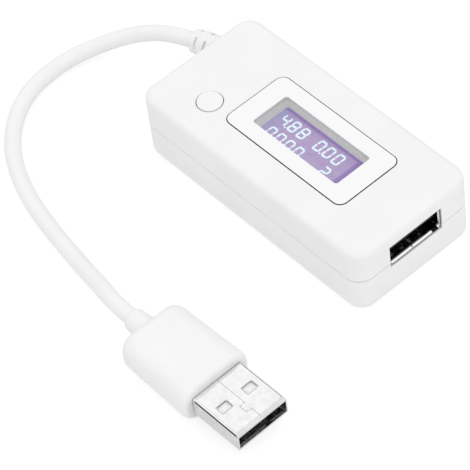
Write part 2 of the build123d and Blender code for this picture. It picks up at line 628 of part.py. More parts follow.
def socket_contact(y, tongue_bottom, tongue_tip):
    """One contact: a strip under the tongue with a bow, and a tail through the board."""
    tip = tongue_tip - TONGUE_THICKNESS
    bow_front = tip - CONTACT_BOW_FALL
    bow_back = bow_front - CONTACT_BOW_FLAT
    top, low = tongue_bottom + CONTACT_THICKNESS, tongue_bottom
    tail = tail_x()
    points = [(tail - TAIL_WIDTH / 2, top), (tip, top), (tip, low), (bow_front, low - CONTACT_BOW),
              (bow_back, low - CONTACT_BOW), (bow_back - CONTACT_BOW_RISE, low),
              (tail + TAIL_WIDTH / 2, low),
              (tail + TAIL_WIDTH / 2, BOARD_BOTTOM - TAIL_BELOW_BOARD),
              (tail - TAIL_WIDTH / 2, BOARD_BOTTOM - TAIL_BELOW_BOARD)]
    return side_profile(points, TAIL_WIDTH, y).solid()


# --- plug -----------------------------------------------------------------------------------------


def plug_form(width, height, radius, x1, x2, inset):
    """A rounded bar along X whose front end slopes in above and below."""
    bar = Pos(x1, 0, 0) * Rot(0, 90, 0) * extrude(RectangleRounded(height, width, radius), x2 - x1)
    half = height / 2
    slope_start = SHELL_EXPOSED - LIP_LENGTH - inset / 2
    reach = x2 - slope_start
    drop = LIP_DROP / LIP_LENGTH * reach if inset else LIP_DROP
    limit = [(x1, -half), (slope_start, -half), (x2, drop - half), (x2, half - drop),
             (slope_start, half), (x1, half)]
    return bar & side_profile(limit, width)


def seam_line():
    """The seam along the shell's upper wall, with one dovetail."""
    neck_start = DOVETAIL_FROM_MOULD
    neck_end = neck_start + DOVETAIL_NECK
    near, far = SHELL_SEAM_OFFSET, SHELL_SEAM_OFFSET - DOVETAIL_DEPTH
    return [(-SHELL_BURIED - EPS, near), (neck_start, near), (neck_start - DOVETAIL_FLARE, far),
            (neck_end + DOVETAIL_FLARE, far), (neck_end, near), (SHELL_EXPOSED + EPS, near)]


def seam_cut(start, end):
    """A narrow slit in the shell's upper wall between two points."""
    path = Vector(*end) - Vector(*start)
    angle = Vector(1, 0).get_signed_angle(path)
    length = path.length + SHELL_SEAM_WIDTH
    x, y = (start[0] + end[0]) / 2, (start[1] + end[1]) / 2
    return Pos(x, y, SHELL_HEIGHT / 2) * Rot(0, 0, angle) * Box(
        length, SHELL_SEAM_WIDTH, 2 * SHELL_SHEET + LIP_DROP)


def make_plug_shell():
    """Sheet-metal shell with its bent front lip, four windows and a dovetailed seam."""
    outer = plug_form(SHELL_WIDTH, SHELL_HEIGHT, SHELL_RADIUS, -SHELL_BURIED, SHELL_EXPOSED, 0)
    inner = plug_form(SHELL_INNER_WIDTH, SHELL_INNER_HEIGHT, SHELL_RADIUS - SHELL_SHEET,
                      -SHELL_BURIED - EPS, SHELL_EXPOSED + SHELL_SHEET, SHELL_SHEET)
    shell = outer - inner
    for y in (-SHELL_WINDOW_SPACING / 2, SHELL_WINDOW_SPACING / 2):
        shell -= rounded_slab(SHELL_WINDOW_LENGTH, SHELL_WINDOW_WIDTH, SHELL_HEIGHT + EPS,
                              SHELL_WINDOW_RADIUS, x=SHELL_WINDOW_FROM_MOULD, y=y,
                              z=-(SHELL_HEIGHT + EPS) / 2)
    for start, end in zip(seam_line(), seam_line()[1:]):
        shell -= seam_cut(start, end)
    parts["plug_shell"] = PLUG * shell


def make_plug_insulator():
    """Tongue against the shell's seam side, its block in the overmould, and the contacts."""
    top = SHELL_INNER_HEIGHT / 2 - INSULATOR_GAP
    side = SHELL_INNER_WIDTH / 2 - INSULATOR_GAP
    tongue_bottom = top - INSULATOR_THICKNESS
    rear = -SHELL_BURIED
    insulator = block(rear, SHELL_EXPOSED - INSULATOR_SETBACK, -side + SHELL_RADIUS,
                      side - SHELL_RADIUS, tongue_bottom, top)
    insulator += block(rear, rear + INSULATOR_BLOCK_LENGTH, -side + SHELL_RADIUS,
                       side - SHELL_RADIUS, -top, top)
    contacts = []
    for y in CONTACT_PLACES:
        contacts.append(block(rear, SHELL_EXPOSED - INSULATOR_SETBACK - CONTACT_SETBACK,
                              y - CONTACT_WIDTH / 2, y + CONTACT_WIDTH / 2,
                              tongue_bottom, tongue_bottom + CONTACT_THICKNESS))
    for contact in contacts:
        insulator -= contact
    parts["plug_insulator"] = PLUG * insulator
    parts["plug_contacts"] = PLUG * Compound(contacts)


def make_overmould():
    """The soft body behind the shell: a rounded slab that narrows to its collar."""
    front = Plane.YZ * RectangleRounded(MOULD_WIDTH, MOULD_HEIGHT, MOULD_SIDE_RADIUS)
    rear = Plane.YZ.offset(-MOULD_LENGTH) * RectangleRounded(
        MOULD_WIDTH - MOULD_REAR_NARROWING, MOULD_HEIGHT - MOULD_REAR_THINNING,
        MOULD_SIDE_RADIUS - MOULD_REAR_THINNING / 2)
    body = loft([rear.face(), front.face()])
    body = fillet(body.faces().sort_by(Axis.X)[0].edges(), MOULD_REAR_RADIUS)
    body = fillet(body.faces().sort_by(Axis.X)[-1].edges(), MOULD_FRONT_RADIUS)
    collar = Pos(-MOULD_LENGTH - COLLAR_LENGTH, 0, 0) * Rot(0, 90, 0) * Cone(
        COLLAR_TIP_RADIUS, COLLAR_RADIUS, COLLAR_LENGTH + MOULD_REAR_RADIUS,
        align=(Align.CENTER, Align.CENTER, Align.MIN))
    collar = fillet(collar.faces().sort_by(Axis.X)[0].edges(),
                    min(COLLAR_TIP_ROUND, COLLAR_TIP_RADIUS - CABLE_DIAMETER / 2))
    body += collar
    pocket = Pos(-SHELL_BURIED, 0, 0) * Rot(0, 90, 0) * extrude(
        RectangleRounded(SHELL_HEIGHT, SHELL_WIDTH, SHELL_RADIUS), SHELL_BURIED + EPS)
    return body - pocket


# --- cable ----------------------------------------------------------------------------------------


def boot_frame(distance):
    """Location on the boot's bent axis; its Z looks outwards along the cable."""
    bend = distance / BOOT_AXIS_RADIUS
    lean = radians(BOOT_BEND_LEAN)
    aside = BOOT_AXIS_RADIUS * (1 - cos(bend))
    origin = (CASE_BACK - BOOT_AXIS_RADIUS * sin(bend), BOOT_SIDE_OFFSET - aside * sin(lean),
              BOOT_Z - aside * cos(lean))
    outward = (-cos(bend), -sin(bend) * sin(lean), -sin(bend) * cos(lean))
    across = (0, cos(lean), -sin(lean))
    return Plane(origin=origin, x_dir=across, z_dir=outward)


def boot_radius(distance):
    """The boot tapers evenly from its root to its tip."""
    return BOOT_ROOT_RADIUS + (BOOT_TIP_RADIUS - BOOT_ROOT_RADIUS) * distance / BOOT_LENGTH


def make_boot():
    """Strain relief: a bent, tapered sleeve with slots, a neck in the wall and a flange."""
    stations = [BOOT_LENGTH * i / (BOOT_STATIONS - 1) for i in range(BOOT_STATIONS)]
    sleeve = loft([(boot_frame(s) * Circle(boot_radius(s))).face() for s in stations])
    tip = sleeve.faces().sort_by(Axis.X)[0].edges()
    sleeve = fillet(tip, min(BOOT_TIP_ROUND, BOOT_TIP_RADIUS - CABLE_DIAMETER / 2))
    distance = BOOT_FIRST_SLOT
    while distance < BOOT_LENGTH - BOOT_SLOT_WIDTH / 2 - BOOT_TIP_ROUND / 2:
        for quarter in range(4):
            turn = Rot(0, 0, quarter * 90 + BOOT_SLOT_TURN + BOOT_BEND_LEAN)
            cutter = Pos(BOOT_SLOT_FLOOR + BOOT_ROOT_RADIUS / 2, 0, 0) * Box(
                BOOT_ROOT_RADIUS, BOOT_SLOT_SPAN, BOOT_SLOT_WIDTH)
            sleeve -= boot_frame(distance).location * turn * cutter
        distance += BOOT_SLOT_PITCH
    neck = along_x(CASE_BACK, BOOT_SIDE_OFFSET, BOOT_Z, BOOT_NECK_RADIUS, WALL)
    flange = along_x(INNER_BACK, BOOT_SIDE_OFFSET, BOOT_Z, BOOT_FLANGE_RADIUS,
                     BOOT_FLANGE_THICKNESS)
    boot = join([sleeve, neck, flange])
    jacket_depth = WALL + BOOT_FLANGE_THICKNESS
    boot -= along_x(CASE_BACK, BOOT_SIDE_OFFSET, BOOT_Z, CABLE_DIAMETER / 2, jacket_depth + EPS)
    parts["cable_boot"] = boot
    parts["cable_jacket_end"] = along_x(CASE_BACK, BOOT_SIDE_OFFSET, BOOT_Z,
                                        CABLE_DIAMETER / 2, jacket_depth + JACKET_STUB)


def filleted_path(points):
    """Straight runs joined by arcs as large as the runs allow; prints the radii."""
    vectors = [Vector(*p) for p in points]
    radii = []
    for before, here, after in zip(vectors, vectors[1:], vectors[2:]):
        turn = radians((here - before).get_angle(after - here))
        shorter = min((here - before).length, (after - here).length)
        radii.append(ARC_SHARE * shorter / tan(turn / 2))
    print("radii", [round(r, 1) for r in radii])
    return FilletPolyline(*vectors, radius=radii)


def round_tube(path, radius):
    """A round bar along a path; prints its volume beside section times length."""
    section = Plane(origin=path @ 0, z_dir=path % 0) * Circle(radius)
    tube = sweep(section, path=path)
    print("tube volume", round(tube.volume, 2), "section x length",
          round(pi * radius ** 2 * path.length, 2), "length", round(path.length, 2))
    return tube


def make_cable():
    """The free cable, from the boot's tip round to the plug's collar."""
    tip = boot_frame(BOOT_LENGTH)
    first = tip.origin + tip.z_dir * CABLE_START_RUN
    collar_face = -MOULD_LENGTH - COLLAR_LENGTH
    end = PLUG * Pos(collar_face, 0, 0)
    before_end = PLUG * Pos(collar_face - CABLE_END_RUN, 0, 0)
    floor = CABLE_DIAMETER / 2
    middle = [(-52.1, 1.1, 4.8), (-57.2, -5.1, 2.4), (-59.6, -13.0, floor), (-58.0, -24.0, floor),
              (-50.4, -33.5, floor), (-39.7, -39.2, floor), (-28.1, -42.1, floor),
              (-15.1, -44.0, floor), (-8.3, -45.4, 3.5)]
    route = [tip.origin, first] + middle + [before_end.position, end.position]
    parts["usb_cable"] = round_tube(filleted_path(route), CABLE_DIAMETER / 2)


def make_wires():
    """Four wires from the jacket's end to solder joints on the board."""
    start = INNER_BACK + BOOT_FLANGE_THICKNESS + JACKET_STUB
    pad = BOARD_BACK + PAD_FROM_BACK
    pad_z = BOARD_TOP + PAD_HEIGHT / 2
    layout = (("wire_red", -WIRE_SIDE, WIRE_PITCH, -PAD_OUTER),
              ("wire_white", -WIRE_SIDE, 0, -PAD_INNER),
              ("wire_green", WIRE_SIDE, 0, PAD_INNER),
              ("wire_black", WIRE_SIDE, WIRE_PITCH, PAD_OUTER))
    joints = []
    for name, side, lift, aside in layout:
        y1, y2 = BOOT_SIDE_OFFSET + side, BOOT_SIDE_OFFSET - PAD_SHIFT + aside
        z1 = pad_z + lift
        end = pad - PAD_LENGTH
        points = [(start, y1, z1), (start + WIRE_STRAIGHT, y1, z1),
                  (end - WIRE_STRAIGHT, y2, pad_z), (end, y2, pad_z)]
        parts[name] = round_tube(filleted_path(points), WIRE_RADIUS)
        joints.append(rounded_slab(PAD_LENGTH, PAD_WIDTH, PAD_HEIGHT, PAD_WIDTH / 4,
                                   x=pad - PAD_LENGTH / 2, y=y2, z=BOARD_TOP))
    parts["solder_joints"] = Compound(joints)


parts["top_cover"] = make_top_cover()
parts["bottom_cover"] = make_bottom_cover()
make_window()
make_lcd()
make_board()
make_components()
make_button()
make_socket_shell()
make_socket_insulator()
make_plug_shell()
make_plug_insulator()
parts["plug_overmould"] = PLUG * make_overmould()
make_boot()
make_cable()
make_wires()

for name, shape in parts.items():
    export_step(shape, f"parts/{name}.step")
print(len(parts), "parts written")
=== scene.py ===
# %% [markdown]
# # A USB power meter, finished in Blender
# The meter is a small white box with a display, a round button and a USB-A socket. A short
# white cable leaves its other end and carries a USB-A plug. All its rigid parts come from the
# CAD model, already in place and at their real size, so the work here is the finish of each
# surface, the free cable, the digits on the display, the light and the camera.
#
# Everything is in metres. +X runs along the housing towards the socket, +Y across it, +Z up.

import math

import bpy
from mathutils import Matrix, Vector


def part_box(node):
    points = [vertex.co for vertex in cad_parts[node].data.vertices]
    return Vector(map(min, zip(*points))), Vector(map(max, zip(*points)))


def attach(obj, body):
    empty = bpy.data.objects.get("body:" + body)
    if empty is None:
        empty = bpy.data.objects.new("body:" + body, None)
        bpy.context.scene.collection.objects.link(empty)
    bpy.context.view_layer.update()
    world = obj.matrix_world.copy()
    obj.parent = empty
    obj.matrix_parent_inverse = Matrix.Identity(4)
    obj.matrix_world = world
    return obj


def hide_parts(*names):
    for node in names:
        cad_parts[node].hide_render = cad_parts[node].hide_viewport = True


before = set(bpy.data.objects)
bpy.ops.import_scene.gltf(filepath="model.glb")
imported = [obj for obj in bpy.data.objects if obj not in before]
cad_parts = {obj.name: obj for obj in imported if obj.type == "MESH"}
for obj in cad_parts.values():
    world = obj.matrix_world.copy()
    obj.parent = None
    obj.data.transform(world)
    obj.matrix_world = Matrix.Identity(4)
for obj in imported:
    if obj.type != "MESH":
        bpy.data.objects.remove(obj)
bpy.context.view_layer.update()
MM = 0.001

# %% [markdown]
# ## Camera
# A small product is shown best from above its near corner through a long lens, which keeps the
# long edges almost parallel. The camera is described as it would be set up on a stand: where it
# stands round the object, how far away, how it is rolled, and how far the object is off the
# middle of the view. Its three axes are worked out from those angles, which is plainer than
# three Euler angles that depend on each other.

# %% Camera axes and place
AZIMUTH = math.radians(54.6)
ELEVATION = math.radians(49.6)
ROLL = math.radians(-8.6)
DISTANCE = 0.5526
LENS_MM, SENSOR_MM = 221.4, 36
NEAREST_SEEN, FARTHEST_SEEN = 0.01, 10
AIM_RIGHT = 13.25 * MM
AIM_UP = 14.24 * MM
target = Vector((0, 0, 7.5 * MM))


def camera_axes(azimuth, elevation, roll):
    """Right, up and backward axes of a camera that looks at the object from these angles."""
    flat = math.cos(elevation)
    back = Vector((math.sin(azimuth) * flat, -math.cos(azimuth) * flat, math.sin(elevation)))
    right = Vector((math.cos(azimuth), math.sin(azimuth), 0))
    up = back.cross(right)
    turn = Matrix.Rotation(roll, 3, back)
    return turn @ right, turn @ up, back


right, up, back = camera_axes(AZIMUTH, ELEVATION, ROLL)
bpy.ops.object.camera_add()
camera = bpy.context.object
camera.name = "Camera"
camera.data.lens = LENS_MM
camera.data.sensor_width = SENSOR_MM
camera.data.clip_start, camera.data.clip_end = NEAREST_SEEN, FARTHEST_SEEN
place = target + back * DISTANCE - right * AIM_RIGHT - up * AIM_UP
camera.matrix_world = Matrix.Translation(place) @ Matrix((right, up, back)).transposed().to_4x4()
bpy.context.scene.camera = camera
print("camera at", [round(v, 3) for v in camera.location])

# %% [markdown]
# ## The free cable
# The cable is a thin white jacketed lead. It droops from the boot to the table, swings round in
# a wide bow and rises a little into the plug. A bevelled curve is the natural way to make it:
# one smooth line with a round section. The line is a NURBS spline, whose points pull at it
# without it having to pass through them, so it bends as evenly as a real cable does. Two points
# in line at each end make it leave the boot, and enter the plug, without a kink.

# %% Cable as one smooth curve
CABLE_DIAMETER = 3.4 * MM
# the route, and the heights and distances it is made from, are in millimetres
LYING = CABLE_DIAMETER / 2 / MM     # height of the cable's middle where it lies on the table
BOOT_LEAD = 5.9                     # how far the cable keeps the boot's direction
PLUG_LEAD, PLUG_END = 28.1, 23.4    # the last two points, behind the root of the plug's shell
PLUG_ROOT = Vector((26.5, -46.45, 4.5))
PLUG_YAW = math.radians(0.6)
PLUG_AXIS = Vector((math.cos(PLUG_YAW), math.sin(PLUG_YAW), 0))
cable_exit = Vector((-39.11, 6.35, 8.10))
exit_way = Vector((-0.951, -0.304, -0.054))
cable_route = [
    cable_exit, cable_exit + exit_way * BOOT_LEAD,
    (-52.1, 1.1, 4.8), (-57.2, -5.1, 2.4), (-59.6, -13.0, LYING), (-58.0, -24.0, LYING),
    (-50.4, -33.5, LYING), (-39.7, -39.2, LYING), (-28.1, -42.1, LYING),
    (-15.1, -44.0, LYING), (-8.3, -45.4, 3.5),
    PLUG_ROOT - PLUG_AXIS * PLUG_LEAD, PLUG_ROOT - PLUG_AXIS * PLUG_END,
]


def smooth_curve(name, points, diameter):
    """A round bevelled NURBS curve through the pull of the given points, in millimetres."""
    data = bpy.data.curves.new(name, "CURVE")
    data.dimensions = "3D"
    data.bevel_depth = diameter / 2
    data.bevel_resolution = 8
    data.use_fill_caps = True
    spline = data.splines.new("NURBS")
    spline.points.add(len(points) - 1)
    for point, place in zip(spline.points, points):
        point.co = (*(Vector(place) * MM), 1)
    spline.order_u = 3
    spline.use_endpoint_u = True
    spline.resolution_u = 16
    curve = bpy.data.objects.new(name, data)
    bpy.context.collection.objects.link(curve)
    return curve


cable = smooth_curve("free_cable", cable_route, CABLE_DIAMETER)
print("cable points:", len(cable_route))

# %% [markdown]
# ## How the materials are built
# Each finish is a small node tree on Object coordinates, so its grain has a real size in
# millimetres and doesn't depend on how a mesh is divided. Such a tree could be wired by hand in
# the shader editor. In a script, small helpers that add a node and wire it up keep every finish
# readable. The first ones start a tree and do its sums.

# %% Helpers that start a tree and do its sums
def start_material(name):
    """A material with an empty tree but for its output; returns the pieces to build with."""
    material = bpy.data.materials.new(name)
    material.use_nodes = True
    tree = material.node_tree
    tree.nodes.clear()
    output = tree.nodes.new("ShaderNodeOutputMaterial")
    return material, tree.nodes, tree.links, output


def start_finish(name):
    """A material with one Principled shader on its output; returns the pieces to build with."""
    material, nodes, links, output = start_material(name)
    shader = nodes.new("ShaderNodeBsdfPrincipled")
    links.new(shader.outputs["BSDF"], output.inputs["Surface"])
    return material, nodes, links, shader


def worked_out(nodes, links, operation, first, second=None, clamp=False):
    """One sum; each side of it is a socket or a plain number."""
    node = nodes.new("ShaderNodeMath")
    node.operation = operation
    node.use_clamp = clamp
    for socket, value in zip(node.inputs, (first, second)):
        if isinstance(value, bpy.types.NodeSocket):
            links.new(value, socket)
        elif value is not None:
            socket.default_value = value
    return node.outputs["Value"]


def rescaled(nodes, links, value, start, end, low=0, high=1, smooth=False):
    """Goes from low to high as the value goes from start to end, and stays there."""
    node = nodes.new("ShaderNodeMapRange")
    node.interpolation_type = "SMOOTHSTEP" if smooth else "LINEAR"
    node.inputs["From Min"].default_value = start
    node.inputs["From Max"].default_value = end
    node.inputs["To Min"].default_value = low
    node.inputs["To Max"].default_value = high
    links.new(value, node.inputs["Value"])
    return node.outputs["Result"]


def colour_mix(nodes, links, factor):
    """A mix driven by a factor: its colour for 0, its colour for 1, and its result."""
    mix = nodes.new("ShaderNodeMix")
    mix.data_type = "RGBA"
    links.new(factor, mix.inputs["Factor"])
    return mix.inputs["A"], mix.inputs["B"], mix.outputs["Result"]


print("helpers for trees and sums are ready")

# %% [markdown]
# Grain, patches and wear are all noise of a known size. It is spread over a range of roughness,
# mixed between two tones, or turned into a relief. Most of a noise lies near its middle, so
# only that part is used.

# %% Helpers for grain, tone and relief
NOISE_LOW, NOISE_HIGH = 0.3, 0.7
TONES_LOW, TONES_HIGH = 0.35, 0.65


def surface_noise(nodes, links, size_mm, detail=3.0, stretch=(1, 1, 1)):
    """Noise whose lumps are about size_mm across, drawn out along the axes of stretch."""
    place = nodes.new("ShaderNodeTexCoord")
    scaling = nodes.new("ShaderNodeMapping")
    scaling.inputs["Scale"].default_value = [1 / (size_mm * MM * s) for s in stretch]
    noise = nodes.new("ShaderNodeTexNoise")
    noise.inputs["Scale"].default_value = 1
    noise.inputs["Detail"].default_value = detail
    links.new(place.outputs["Object"], scaling.inputs["Vector"])
    links.new(scaling.outputs["Vector"], noise.inputs["Vector"])
    return noise.outputs["Fac"]


def between(nodes, links, noise, low, high):
    """Turns a noise into a number between low and high."""
    return rescaled(nodes, links, noise, NOISE_LOW, NOISE_HIGH, low, high)


def two_tones(nodes, links, noise, dark, light):
    """Turns a noise into a colour between two tones."""
    ramp = nodes.new("ShaderNodeValToRGB")
    first, last = ramp.color_ramp.elements
    first.position, last.position = TONES_LOW, TONES_HIGH
    first.color, last.color = (*dark, 1), (*light, 1)
    links.new(noise, ramp.inputs["Fac"])
    return ramp.outputs["Color"]


def fine_relief(nodes, links, height, depth_mm):
    """A bump whose hills stand depth_mm above its valleys."""
    bump = nodes.new("ShaderNodeBump")
    bump.inputs["Strength"].default_value = 1
    bump.inputs["Distance"].default_value = depth_mm * MM
    links.new(height, bump.inputs["Height"])
    return bump.outputs["Normal"]


def shaded(colour, share):
    """The same colour, darker by a share."""
    return tuple(c * (1 - share) for c in colour)


print("helpers for grain are ready")

# %% [markdown]
# A groove between two shells is nearly black, but the soft light of the scene would leave it
# pale. The Ambient Occlusion node measures how little of the room each point sees within a
# short reach, and the colour darkens by that, as painted shade.

# %% Helper for narrow gaps
# the black of painted shade in the deepest gaps
GAP_SHADE_BLACK = (0.01, 0.01, 0.01, 1)
GAP_POWER, GAP_RAYS = 1.5, 8


def gap_shade(nodes, links, colour, reach_mm):
    """Paints shade into a colour inside gaps and corners narrower than reach_mm."""
    opening = nodes.new("ShaderNodeAmbientOcclusion")
    opening.samples = GAP_RAYS
    opening.inputs["Distance"].default_value = reach_mm * MM
    openness = worked_out(nodes, links, "POWER", opening.outputs["AO"], GAP_POWER)
    in_gap, in_open, result = colour_mix(nodes, links, openness)
    in_gap.default_value = GAP_SHADE_BLACK
    links.new(colour, in_open)
    return result


print("helper for gaps is ready")

# %% [markdown]
# Two finishes cover most of the part: moulded plastic and sheet metal. A moulded surface has
# three layers of detail, as the real one does: a slow drift of tone over centimetres, a
# spark-eroded grain of a tenth of a millimetre that catches the light, and a roughness that
# varies with it. Rolled sheet has fine lines along the roll, and dull patches where it was
# handled.

# %% Moulded plastic and sheet metal
DRIFT_MM, PATCH_MM = 9.0, 1.2
LINE_MM, LINE_DEPTH_MM = 0.16, 0.002
GRAIN_SPREAD, LINE_SPREAD = 0.12, 0.25      # how far the roughness varies, as a share


def finish_layers(nodes, links, shader, tones, relief, roughness, spread, depth_mm, gap_mm):
    """Puts tones on a shader, with a relief and a roughness that varies with it."""
    # painted shade in gaps narrower than gap_mm
    if gap_mm:
        tones = gap_shade(nodes, links, tones, gap_mm)
    links.new(tones, shader.inputs["Base Color"])
    links.new(between(nodes, links, relief, roughness * (1 - spread), roughness * (1 + spread)),
              shader.inputs["Roughness"])
    links.new(fine_relief(nodes, links, relief, depth_mm), shader.inputs["Normal"])


def moulded_plastic(name, colour, roughness, grain_mm=0.12, grain_depth=0.004, drift=0.02,
                    gap_mm=0.0):
    """Moulded plastic: slow drift of tone, fine grain, and a roughness that follows the grain."""
    material, nodes, links, shader = start_finish(name)
    tone = surface_noise(nodes, links, DRIFT_MM, detail=2.0)
    grain = surface_noise(nodes, links, grain_mm, detail=4.0)
    tones = two_tones(nodes, links, tone, shaded(colour, drift), colour)
    finish_layers(nodes, links, shader, tones, grain, roughness, GRAIN_SPREAD, grain_depth,
                  gap_mm)
    return material, shader


def sheet_metal(name, colour, roughness, roll=(14, 1, 1), dull=0.08, gap_mm=0.0):
    """Rolled and plated sheet: fine lines along the rolling direction and faint dull patches."""
    material, nodes, links, shader = start_finish(name)
    shader.inputs["Metallic"].default_value = 1.0
    patches = surface_noise(nodes, links, PATCH_MM, detail=6.0)
    lines = surface_noise(nodes, links, LINE_MM, detail=3.0, stretch=roll)
    tones = two_tones(nodes, links, patches, shaded(colour, dull), colour)
    finish_layers(nodes, links, shader, tones, lines, roughness, LINE_SPREAD, LINE_DEPTH_MM,
                  gap_mm)
    return material, shader


def dress(material, *names):
    """Gives a material to CAD nodes by name."""
    for name in names:
        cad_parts[name].data.materials[0] = material


print("two finishes are ready")

# %% [markdown]
# ## The white housing and the button
# The two shells are moulded from white ABS in a spark-eroded tool, which leaves a dry, even
# matte surface. A plain diffuse white would look like plaster, so the shells keep a weak, wide
# sheen from a roughness near one half. Where they meet, painted shade darkens the gap to a fine
# line. The button is moulded in the same white from a smoother tool: its grain is finer and its
# roughness lower, so that it reads as a separate piece.

# %% Housing and button
SHELL_WHITE = (0.865, 0.865, 0.868)
BUTTON_WHITE = (0.875, 0.875, 0.878)
# gap_mm paints shade into the narrow gaps of the shells
shell_plastic, shell_shader = moulded_plastic("white_shell", SHELL_WHITE, 0.50, gap_mm=0.2)
button_plastic, _ = moulded_plastic("button_white", BUTTON_WHITE, 0.42, grain_mm=0.08,
                                    grain_depth=0.002)
dress(shell_plastic, "top_cover", "bottom_cover")
dress(button_plastic, "mode_button")
print("housing and button dressed")

# %% [markdown]
# ## The cable, its boot and the plug's overmould
# These are one soft white PVC, moulded against polished steel, so they are smoother than the
# housing and show a soft, broad highlight. The extruded jacket of the cable is a little
# smoother still. The boot is thin between its slots, so some light passes through it: scattering
# below its surface, over half a millimetre or so, keeps the slots from turning black.

# %% Soft white PVC
SOFT_WHITE = (0.87, 0.87, 0.872)
boot_pvc, shader = moulded_plastic("boot_white", SOFT_WHITE, 0.46, grain_mm=0.2,
                                   grain_depth=0.003)
shader.inputs["Subsurface Weight"].default_value = 0.4
shader.inputs["Subsurface Scale"].default_value = 0.6 * MM
shader.inputs["Subsurface Radius"].default_value = (1, 1, 1)
mould_pvc, _ = moulded_plastic("mould_white", SOFT_WHITE, 0.42, grain_mm=0.2, grain_depth=0.003)
jacket_pvc, _ = moulded_plastic("cable_white", SOFT_WHITE, 0.40, grain_mm=0.3, grain_depth=0.003)
dress(boot_pvc, "cable_boot")
dress(mould_pvc, "plug_overmould")
dress(jacket_pvc, "cable_jacket_end", "usb_cable")
cable.data.materials.append(jacket_pvc)
print("soft parts dressed")

# %% [markdown]
# ## Tints that hold at a place
# The plug and the display have marks that stop at a line: a shaded tip, a dull rim, a dark
# border. They could be painted on an image, but an image needs unwrapping and has a fixed
# sharpness. Ramps and rectangles on the object's own coordinates give the same marks at any
# size, and stay put when the piece moves.

# %% Helpers for a place and its tint
def object_axes(nodes, links):
    """The X, Y and Z of each point of a surface."""
    place = nodes.new("ShaderNodeTexCoord")
    split = nodes.new("ShaderNodeSeparateXYZ")
    links.new(place.outputs["Object"], split.inputs["Vector"])
    return split.outputs


def ramp_along(nodes, links, axis, start, end):
    """0 before start and 1 after end along one axis, with a smooth step between."""
    return rescaled(nodes, links, object_axes(nodes, links)[axis], start, end, smooth=True)


def outside(nodes, links, middle, half_length, half_width):
    """1 outside a rectangle round middle (x, y), seen from above, and 0 in it."""
    beyond = []
    for axis, centre, half in zip(object_axes(nodes, links), middle, (half_length, half_width)):
        offset = worked_out(nodes, links, "SUBTRACT", axis, centre)
        distance = worked_out(nodes, links, "ABSOLUTE", offset)
        beyond.append(worked_out(nodes, links, "GREATER_THAN", distance, half))
    return worked_out(nodes, links, "MAXIMUM", *beyond)


def tint(nodes, links, factor, below, colour, strength=1.0):
    """Lays a colour over another socket's colour, by a factor times strength."""
    share = worked_out(nodes, links, "MULTIPLY", factor, strength)
    under, over, result = colour_mix(nodes, links, share)
    links.new(below, under)
    over.default_value = (*colour, 1)
    return result


def tree_of(material):
    """The nodes and links of a finished material."""
    return material.node_tree.nodes, material.node_tree.links


def recolour(material, shader, factor, colour, strength=1.0):
    """Tints a finished material by a factor made from its own nodes."""
    nodes, links = tree_of(material)
    below = shader.inputs["Base Color"].links[0].from_socket
    links.new(tint(nodes, links, factor, below, colour, strength), shader.inputs["Base Color"])


print("helpers for tints are ready")

# %% [markdown]
# ## The plug
# The shell is folded from nickel-plated steel strip. Rolling leaves hair lines that run
# lengthwise, so the noise is drawn out fourteen times along X. The shell is polished by use and
# mirrors the room softly. Painted shade lays a grey over the steel round the rims of its two
# windows and at its foot by the overmould, where the edges lie in shade. The plastic block
# inside is white. It and its contacts are painted dark at the tip, where they lie in shadow.

# %% Plug shell, insulator and contacts
# painted shade: a grey laid over the steel round the window rims and at the foot
RIM_SHADE_GREY, WINDOW_SHADING, FOOT_SHADING = (0.30, 0.30, 0.30), 0.8, 0.7
TIP_SHADE = (0.11, 0.11, 0.112)
plug_low, plug_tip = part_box("plug_shell")
plug_middle = (plug_low[1] + plug_tip[1]) / 2
mould_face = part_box("plug_overmould")[1][0]
WINDOW_X, WINDOW_Y = plug_tip[0] - 6.6 * MM, 3.05 * MM
WINDOW_LENGTH, WINDOW_WIDTH, WINDOW_RIM = 1.85 * MM, 2.45 * MM, 0.13 * MM
FOOT_UNSHADED, FOOT_SHADED = mould_face + 0.35 * MM, mould_face + 0.1 * MM
SHADE_START, SHADE_END = plug_tip[0] - 4.5 * MM, plug_tip[0] - 3.5 * MM

plug_steel, shader = sheet_metal("plug_steel", (0.96, 0.96, 0.965), 0.11, dull=0.09)
nodes, links = tree_of(plug_steel)
for middle_y in (plug_middle - WINDOW_Y, plug_middle + WINDOW_Y):
    past_window, past_rim = (
        outside(nodes, links, (WINDOW_X, middle_y), WINDOW_LENGTH / 2 + margin,
                WINDOW_WIDTH / 2 + margin) for margin in (0, WINDOW_RIM))
    ring = worked_out(nodes, links, "SUBTRACT", past_window, past_rim)
    recolour(plug_steel, shader, ring, RIM_SHADE_GREY, WINDOW_SHADING)
# painted shade at the foot, beside the overmould
foot = ramp_along(nodes, links, "X", FOOT_UNSHADED, FOOT_SHADED)
recolour(plug_steel, shader, foot, RIM_SHADE_GREY, FOOT_SHADING)

insulator_white, white_shader = moulded_plastic("insulator_white", (0.90, 0.90, 0.90), 0.45)
plug_gold, gold_shader = sheet_metal("plug_gold", (0.80, 0.70, 0.45), 0.30)
for finish, shader, strength in ((insulator_white, white_shader, 1.0),
                                 (plug_gold, gold_shader, 0.9)):
    # painted shade at the tip
    shade = ramp_along(*tree_of(finish), "X", SHADE_START, SHADE_END)
    recolour(finish, shader, shade, TIP_SHADE, strength)
dress(plug_steel, "plug_shell")
dress(insulator_white, "plug_insulator")
dress(plug_gold, "plug_contacts")
print("plug shell is", round((plug_tip[1] - plug_low[1]) / MM, 1), "mm wide in the scene")
